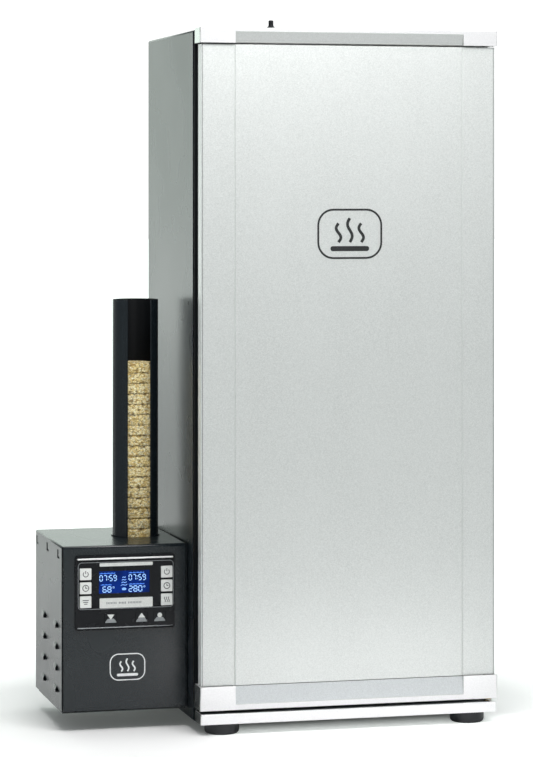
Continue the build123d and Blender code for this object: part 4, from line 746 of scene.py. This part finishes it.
def key_pictograms():
    """Small generic marks on the six square keys: power, clock, level bars and heat waves."""
    marks = {"key_left_top": "power", "key_left_middle": "clock", "key_left_bottom": "bars",
             "key_right_top": "power", "key_right_middle": "clock", "key_right_bottom": "heat"}
    for node, mark in marks.items():
        low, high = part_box(node)
        cx = (low.x + high.x) / 2
        cz = (low.z + high.z) / 2
        front, back = low.y - 0.12 * MM, low.y + 0.02 * MM
        line = 1.0 * MM
        bm = bmesh.new()
        if mark == "power":
            angles = [math.radians(40 + 280 * i / 20) for i in range(21)]
            arc = [(cx + 3.6 * MM * math.sin(a), cz + 3.6 * MM * math.cos(a)) for a in angles]
            stroke(bm, arc, line, front, back)
            stroke(bm, [(cx, cz + 0.6 * MM), (cx, cz + 4.8 * MM)], line, front, back)
        elif mark == "clock":
            stroke(bm, circle(cx, cz, 4.2 * MM, 28), line, front, back, closed=True)
            stroke(bm, [(cx, cz - 0.4 * MM), (cx, cz + 2.8 * MM)], line, front, back)
            stroke(bm, [(cx, cz), (cx + 2.3 * MM, cz)], line, front, back)
        elif mark == "bars":
            for bar in range(3):
                wide = (4.4 - 1.0 * bar) * MM
                z = cz + (2.6 - 2.6 * bar) * MM
                stroke(bm, [(cx - wide, z), (cx + wide, z)], line, front, back)
        else:
            for wave in (-1, 0, 1):
                middle = cx + wave * 2.7 * MM
                points = [(middle + 0.7 * MM * math.sin(i * math.pi / 6), cz + (i / 12 - 0.5) * 7.5 * MM)
                          for i in range(13)]
                stroke(bm, points, line * 0.9, front, back)
        new_piece(node + "_mark", bm, KEY_INK, node + "_body")


key_pictograms()

# Which of the seven segments each digit lights, and where each segment runs.
# A segment goes from one x, z to another, in widths and half heights of the digit.
DIGITS = {"0": "abcdef", "2": "abged", "5": "afgcd", "6": "afgedc", "7": "abc", "8": "abcdefg",
          "9": "abcfgd"}
SEGMENTS = {"a": (0, 2, 1, 2), "b": (1, 1, 1, 2), "c": (1, 0, 1, 1), "d": (0, 0, 1, 0),
            "e": (0, 0, 0, 1), "f": (0, 1, 0, 2), "g": (0, 1, 1, 1)}


def digit(bm, mark, x, z, width, height, line, front, back):
    """One seven-segment digit with its lower left corner at x, z."""
    for segment in DIGITS[mark]:
        x0, z0, x1, z1 = SEGMENTS[segment]
        start = Vector((x + x0 * width, z + z0 * height / 2))
        end = Vector((x + x1 * width, z + z1 * height / 2))
        way = (end - start).normalized()
        side = Vector((-way.y, way.x)) * line / 2
        start += way * line * 0.25
        end -= way * line * 0.25
        tip = way * line / 2
        shape = [start, start + tip + side, end - tip + side, end, end - tip - side, start + tip - side]
        prism(bm, [(p.x, p.y) for p in shape], front, back)


def readout(bm, text, x, z, front, back, width=3.7 * MM):
    """A row of digits; a colon is two dots and a small o is a degree ring."""
    height, line = 7.6 * MM, 1.15 * MM
    for mark in text:
        if mark == ":":
            for dot in (0.28, 0.72):
                prism(bm, circle(x + 0.2 * MM, z + dot * height, 0.6 * MM, 8), front, back)
            x += 1.8 * MM
        elif mark == "o":
            ring = circle(x + 1.2 * MM, z + height - 1.2 * MM, 1.0 * MM, 12)
            stroke(bm, ring, 0.6 * MM, front, back, closed=True)
            x += 3.4 * MM
        else:
            digit(bm, mark, x, z, width, height, line, front, back)
            x += width + 2.3 * MM


def display_marks():
    """Two times above two temperatures, with a smoke sign between them and dashes as captions."""
    left = shell_left + DISPLAY_X
    top = cover_low.z + DISPLAY_TOP_Z
    sign_x = left + 35.6 * MM
    front, back = lcd_low.y - 0.12 * MM, lcd_low.y + 0.02 * MM
    bm = bmesh.new()
    readout(bm, "07:59", left + 1.2 * MM, top - 13.4 * MM, front, back)
    readout(bm, "07:59", left + 42.6 * MM, top - 13.4 * MM, front, back)
    readout(bm, "68o", left + 5.6 * MM, top - 29.2 * MM, front, back, 4.6 * MM)
    readout(bm, "280o", left + 42.6 * MM, top - 29.2 * MM, front, back, 4.6 * MM)
    new_piece("display_digits", bm, lit("digit_light", (0.33, 0.58, 0.95), 0.58), "cabinet")
    bm = bmesh.new()
    for wave in range(4):
        wide = (2.2 + 0.75 * wave) * MM
        z = top - (9.0 + 3.6 * wave) * MM
        points = []
        for step in range(13):
            t = step / 12
            sway = 0.75 * math.sin(t * 2 * math.pi) + 1.6 * (t - 0.5)
            points.append((sign_x + wide * (2 * t - 1), z + sway * MM))
        stroke(bm, points, 0.9 * MM, front, back)
    puck = [(sign_x + 3.1 * MM * x, top - 25.4 * MM + 1.9 * MM * z) for x, z in circle(0, 0, 1, 20)]
    prism(bm, puck, front, back)
    new_piece("display_smoke_sign", bm, lit("sign_light", (0.2, 0.42, 0.9), 0.45), "cabinet")
    bm = bmesh.new()
    for x, z, count in ((1.0, 3.7, 14), (42.4, 3.7, 14), (2.6, 19.6, 10), (42.4, 19.6, 14)):
        for dash in range(count):
            low_x = left + (x + 1.6 * dash) * MM
            low_z = top - z * MM
            high_x = low_x + 1.0 * MM
            high_z = low_z + (1.5 if dash % 3 else 1.0) * MM
            corners = [(low_x, low_z), (high_x, low_z), (high_x, high_z), (low_x, high_z)]
            prism(bm, corners, front, back)
    new_piece("display_dashes", bm, lit("dash_light", (0.08, 0.28, 1.0), 0.45), "cabinet")


display_marks()


# ---- wood biscuits ---------------------------------------------------------------------------
# Features of the broken surface for each metre: pits between chips, their grain, and the crumbled rim.
PIT_RATE, GRAIN_RATE, CRUMBLE_RATE = 300, 520, 210


def biscuit(bm, cx, cy, low, radius, tall, seed, tilt=0.0):
    """Pressed puck: a round slab whose skin is broken into small chips and crumbles at its rims."""
    around, rings, levels = 120, 8, 11
    edge = 1.3 * MM
    # each vertex keeps how deep it sinks; the wood material turns this into painted shade in the pits
    pitting = bm.verts.layers.float.get("pitting") or bm.verts.layers.float.new("pitting")
    offset = Vector((seed * 3.1, seed * 1.7, seed * 0.9))
    turn = Matrix.Rotation(tilt, 3, "Y")
    middle = Vector((cx, cy, low + tall / 2))

    def vert(angle, r, z, normal, rim=0.0):
        place = Vector((math.cos(angle) * r, math.sin(angle) * r, z))
        near = noise.voronoi((place + offset * 0.01) * PIT_RATE)[0]
        fine = noise.noise((place + offset) * GRAIN_RATE)
        crumble = 0.5 + 0.5 * noise.noise((place + offset) * CRUMBLE_RATE)
        pit = max(0.0, 1.7 * near[0] - 0.5) + 0.25 * max(0.0, fine)
        sink = (pit + 1.1 * rim * crumble) * MM
        made = bm.verts.new(middle + turn @ (place - normal * sink))
        made[pitting] = min(1.0, sink / (1.4 * MM))
        return made

    def face_ring(ring, side):
        """A ring of the lower face, side -1, or of the upper one, side 1."""
        r = (radius - edge) * ring / rings
        normal = Vector((0, 0, side))
        return [vert(2 * math.pi * i / around, r, side * tall / 2, normal) for i in range(around)]

    rows = [face_ring(ring, -1) for ring in range(1, rings)]
    for level in range(levels + 1):
        t = level / levels
        t -= 0.045 * math.sin(4 * math.pi * t)
        z = -tall / 2 + tall * t
        close = min(z + tall / 2, tall / 2 - z)
        rim = max(0.0, 1 - close / edge)
        row = []
        for i in range(around):
            a = 2 * math.pi * i / around
            row.append(vert(a, radius - edge * rim * 0.7, z, Vector((math.cos(a), math.sin(a), 0)), rim))
        rows.append(row)
    rows += [face_ring(ring, 1) for ring in range(rings - 1, 0, -1)]
    skin(bm, rows)
    for row, z in ((rows[0], -tall / 2), (rows[-1], tall / 2)):
        hub = bm.verts.new(middle + turn @ Vector((0, 0, z * 0.98)))
        for i in range(around):
            j = (i + 1) % around
            bm.faces.new((row[i], row[j], hub))


feed_low, feed_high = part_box("feed_biscuits")
BISCUIT_R = (stack_high.x - stack_low.x) / 2
BISCUIT_H = feed_high.z - feed_low.z
STACK_COUNT = 23
TOP_TILT = math.radians(1.8)
STACK_PITCH = (stack_high.z - stack_low.z - BISCUIT_H) / (STACK_COUNT - 1)


def biscuit_stack():
    """The stack in the tube, its top biscuit slightly askew, and the two biscuits on the track."""
    cx, cy, _ = stack_middle
    sway = 0.25 * MM
    bm = bmesh.new()
    for count in range(STACK_COUNT):
        top_one = count == STACK_COUNT - 1
        tilt = TOP_TILT if top_one else 0.0
        lift = math.sin(tilt) * BISCUIT_R * 0.35
        biscuit(bm, cx + sway * math.sin(count * 2.3), cy + sway * math.cos(count * 1.7),
                stack_low.z + STACK_PITCH * count + lift, BISCUIT_R - sway, BISCUIT_H, count + 1, tilt)
    piece = new_piece("biscuit_stack", bm, SKINS["biscuit_wood"], "cabinet", 1.2)
    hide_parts("wood_biscuits")
    bm = bmesh.new()
    for seed, x in ((41, feed_low.x + BISCUIT_R), (42, feed_high.x - BISCUIT_R)):
        biscuit(bm, x, cy, feed_low.z, BISCUIT_R, BISCUIT_H, seed)
    piece = new_piece("track_biscuits", bm, SKINS["biscuit_wood"], "pusher", 1.2)
    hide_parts("feed_biscuits")


biscuit_stack()


# ---- stage, light and camera -------------------------------------------------------------------
# Surroundings by heading: degrees from +Y, clockwise seen from above, brightness and tint.
COOL = (0.95, 0.985, 1.0)
GREENISH = (0.9, 1.0, 0.935)
SURROUND = [(-180, 0.29, COOL), (-120, 0.29, COOL), (-95, 0.25, COOL), (-70, 0.2, COOL),
            (-36, 0.24, COOL), (-24, 0.4, GREENISH), (-11, 1.65, GREENISH), (12, 1.4, GREENISH),
            (60, 0.7, COOL), (110, 0.4, COOL), (180, 0.29, COOL)]
SURROUND_MAX = 2.5
BACKDROP = 1.1  # brightness of the plain white that the camera sees
FLOOR_RADIUS = 40.0


def floor_sheet():
    """Pale floor with a soft shade at the object's foot, lifted by painted light near it; its
    reflections brighten far behind.
    """
    bm = bmesh.new()
    bmesh.ops.create_circle(bm, cap_ends=True, radius=FLOOR_RADIUS, segments=64)
    mesh = bpy.data.meshes.new("floor")
    bm.to_mesh(mesh)
    bm.free()
    floor = bpy.data.objects.new("floor", mesh)
    scene.collection.objects.link(floor)
    p = Paint("floor_white", (0.94, 0.94, 0.94), 0.7, Specular_IOR_Level=0.1)
    p.bump(p.noise(0.4), 0.0002, 0.1)
    distance = p.node("ShaderNodeVectorMath", operation="LENGTH")
    p.link(p.place(), distance.inputs[0])
    path = p.node("ShaderNodeLightPath")
    x, y, _ = p.axes("Object")
    # Painted light: a glow seen only by the camera. From 1 m out it makes the floor plain white; nearer,
    # it lifts the shade a little, and more in front of the cabinet (ahead and beside).
    far = p.remap(distance.outputs["Value"], 0.4, 1.0, 0.07, 1.0)
    ahead = p.remap(y, MIDDLE.y - 0.09, MIDDLE.y - 0.15, 0.0, 0.42)
    beside = p.remap(x, MIDDLE.x - 0.21, MIDDLE.x - 0.17, 0.0, 1.0)
    bright = p.math("MAXIMUM", far, p.math("MULTIPLY", ahead, beside))
    seen = p.math("MULTIPLY", bright, path.outputs["Is Camera Ray"])
    behind = p.remap(y, 0.6, 1.6, 0.0, 0.4)
    beyond = p.remap(y, 5.0, 12.0, 0.0, 0.75)
    mirrored = p.math("MULTIPLY", p.math("ADD", behind, beyond), path.outputs["Is Glossy Ray"])
    p.set("Emission Color", (0.93, 1.0, 0.955, 1))
    p.link(p.math("ADD", seen, mirrored), p.shader.inputs["Emission Strength"])
    mesh.materials.append(p.mat)


def surroundings():
    """White to the camera; to the object, soft walls that are brightest straight behind it."""
    world = bpy.data.worlds.new("studio")
    scene.world = world
    world.use_nodes = True
    tree = world.node_tree
    tree.nodes.clear()
    make = tree.nodes.new
    out = make("ShaderNodeOutputWorld")
    mix = make("ShaderNodeMixShader")
    path = make("ShaderNodeLightPath")
    seen, around = make("ShaderNodeBackground"), make("ShaderNodeBackground")
    seen.inputs["Strength"].default_value = BACKDROP
    seen.inputs["Color"].default_value = (1, 1, 1, 1)
    coord = make("ShaderNodeTexCoord")
    split = make("ShaderNodeSeparateXYZ")
    heading = make("ShaderNodeMath")
    heading.operation = "ARCTAN2"
    tree.links.new(coord.outputs["Generated"], split.inputs[0])
    tree.links.new(split.outputs["X"], heading.inputs[0])
    tree.links.new(split.outputs["Y"], heading.inputs[1])
    spread = make("ShaderNodeMapRange")
    for key, value in (("From Min", -math.pi), ("From Max", math.pi)):
        spread.inputs[key].default_value = value
    tree.links.new(heading.outputs[0], spread.inputs["Value"])
    ramp = make("ShaderNodeValToRGB")
    bar = ramp.color_ramp
    bar.interpolation = "EASE"
    while len(bar.elements) < len(SURROUND):
        bar.elements.new(0.5)
    for element, (angle, level, tint) in zip(bar.elements, SURROUND):
        element.position = angle / 360 + 0.5
        element.color = (*(c * level / SURROUND_MAX for c in tint), 1)
    tree.links.new(spread.outputs["Result"], ramp.inputs["Fac"])
    tree.links.new(ramp.outputs["Color"], around.inputs["Color"])
    around.inputs["Strength"].default_value = SURROUND_MAX
    tree.links.new(path.outputs["Is Camera Ray"], mix.inputs["Fac"])
    tree.links.new(around.outputs[0], mix.inputs[1])
    tree.links.new(seen.outputs[0], mix.inputs[2])
    tree.links.new(mix.outputs[0], out.inputs["Surface"])


def soft_box(name, place, target, size, power):
    """Rectangular studio light, placed and aimed from the cabinet's middle, unseen by the camera."""
    light = bpy.data.lights.new(name, "AREA")
    light.color = (1.0, 0.985, 0.985)
    light.shape = "RECTANGLE"
    light.size, light.size_y = size
    light.energy = power
    obj = bpy.data.objects.new(name, light)
    scene.collection.objects.link(obj)
    obj.location = MIDDLE + Vector(place)
    obj.rotation_mode = "QUATERNION"
    obj.rotation_quaternion = (Vector(target) - Vector(place)).to_track_quat("-Z", "Y")
    obj.visible_camera = False


floor_sheet()
surroundings()
soft_box("top_light", (-0.08, -0.85, 1.5), (0.02, -0.17, 0.95), (0.9, 0.4), 13.2)
soft_box("low_light", (0.08, -0.52, 0.03), (0.08, -0.17, 0.08), (0.5, 0.05), 0.19)
soft_box("overhead", (0.0, -0.2, 3.2), (0.0, -0.2, 0.0), (2.5, 2.5), 45.0)

# The camera stands level and looks through a shifted lens, so uprights stay upright. The shift
# belongs to that place alone: moved elsewhere, the camera is aimed at the object and needs none.
CAMERA_PLACE = (MIDDLE.x - 1.1057, MIDDLE.y - 4.0097, 0.7524)
CAMERA_HEADING = math.radians(-14.38)
CAMERA_SHIFT = -0.2482
LENS_MM, SENSOR_MM = 136.02, 36.0
FAR_CLIP = 200.0


def photo_camera():
    """Level camera at the photo's viewing angle."""
    data = bpy.data.cameras.new("camera")
    data.lens = LENS_MM
    data.sensor_width = SENSOR_MM
    data.clip_end = FAR_CLIP
    camera = bpy.data.objects.new("camera", data)
    scene.collection.objects.link(camera)
    camera.location = CAMERA_PLACE
    camera.rotation_euler = (math.radians(90), 0, CAMERA_HEADING)
    scene.camera = camera
    driver = data.driver_add("shift_y").driver
    driver.type = "SCRIPTED"
    for name, path in (("x", "LOC_X"), ("y", "LOC_Y")):
        variable = driver.variables.new()
        variable.name = name
        variable.type = "TRANSFORMS"
        variable.targets[0].id = camera
        variable.targets[0].transform_type = path
        variable.targets[0].transform_space = "WORLD_SPACE"
    x, y, _ = CAMERA_PLACE
    driver.expression = f"{CAMERA_SHIFT} if abs(x - {x}) < 0.002 and abs(y - {y}) < 0.002 else 0.0"


photo_camera()
scene.view_settings.view_transform = "Standard"
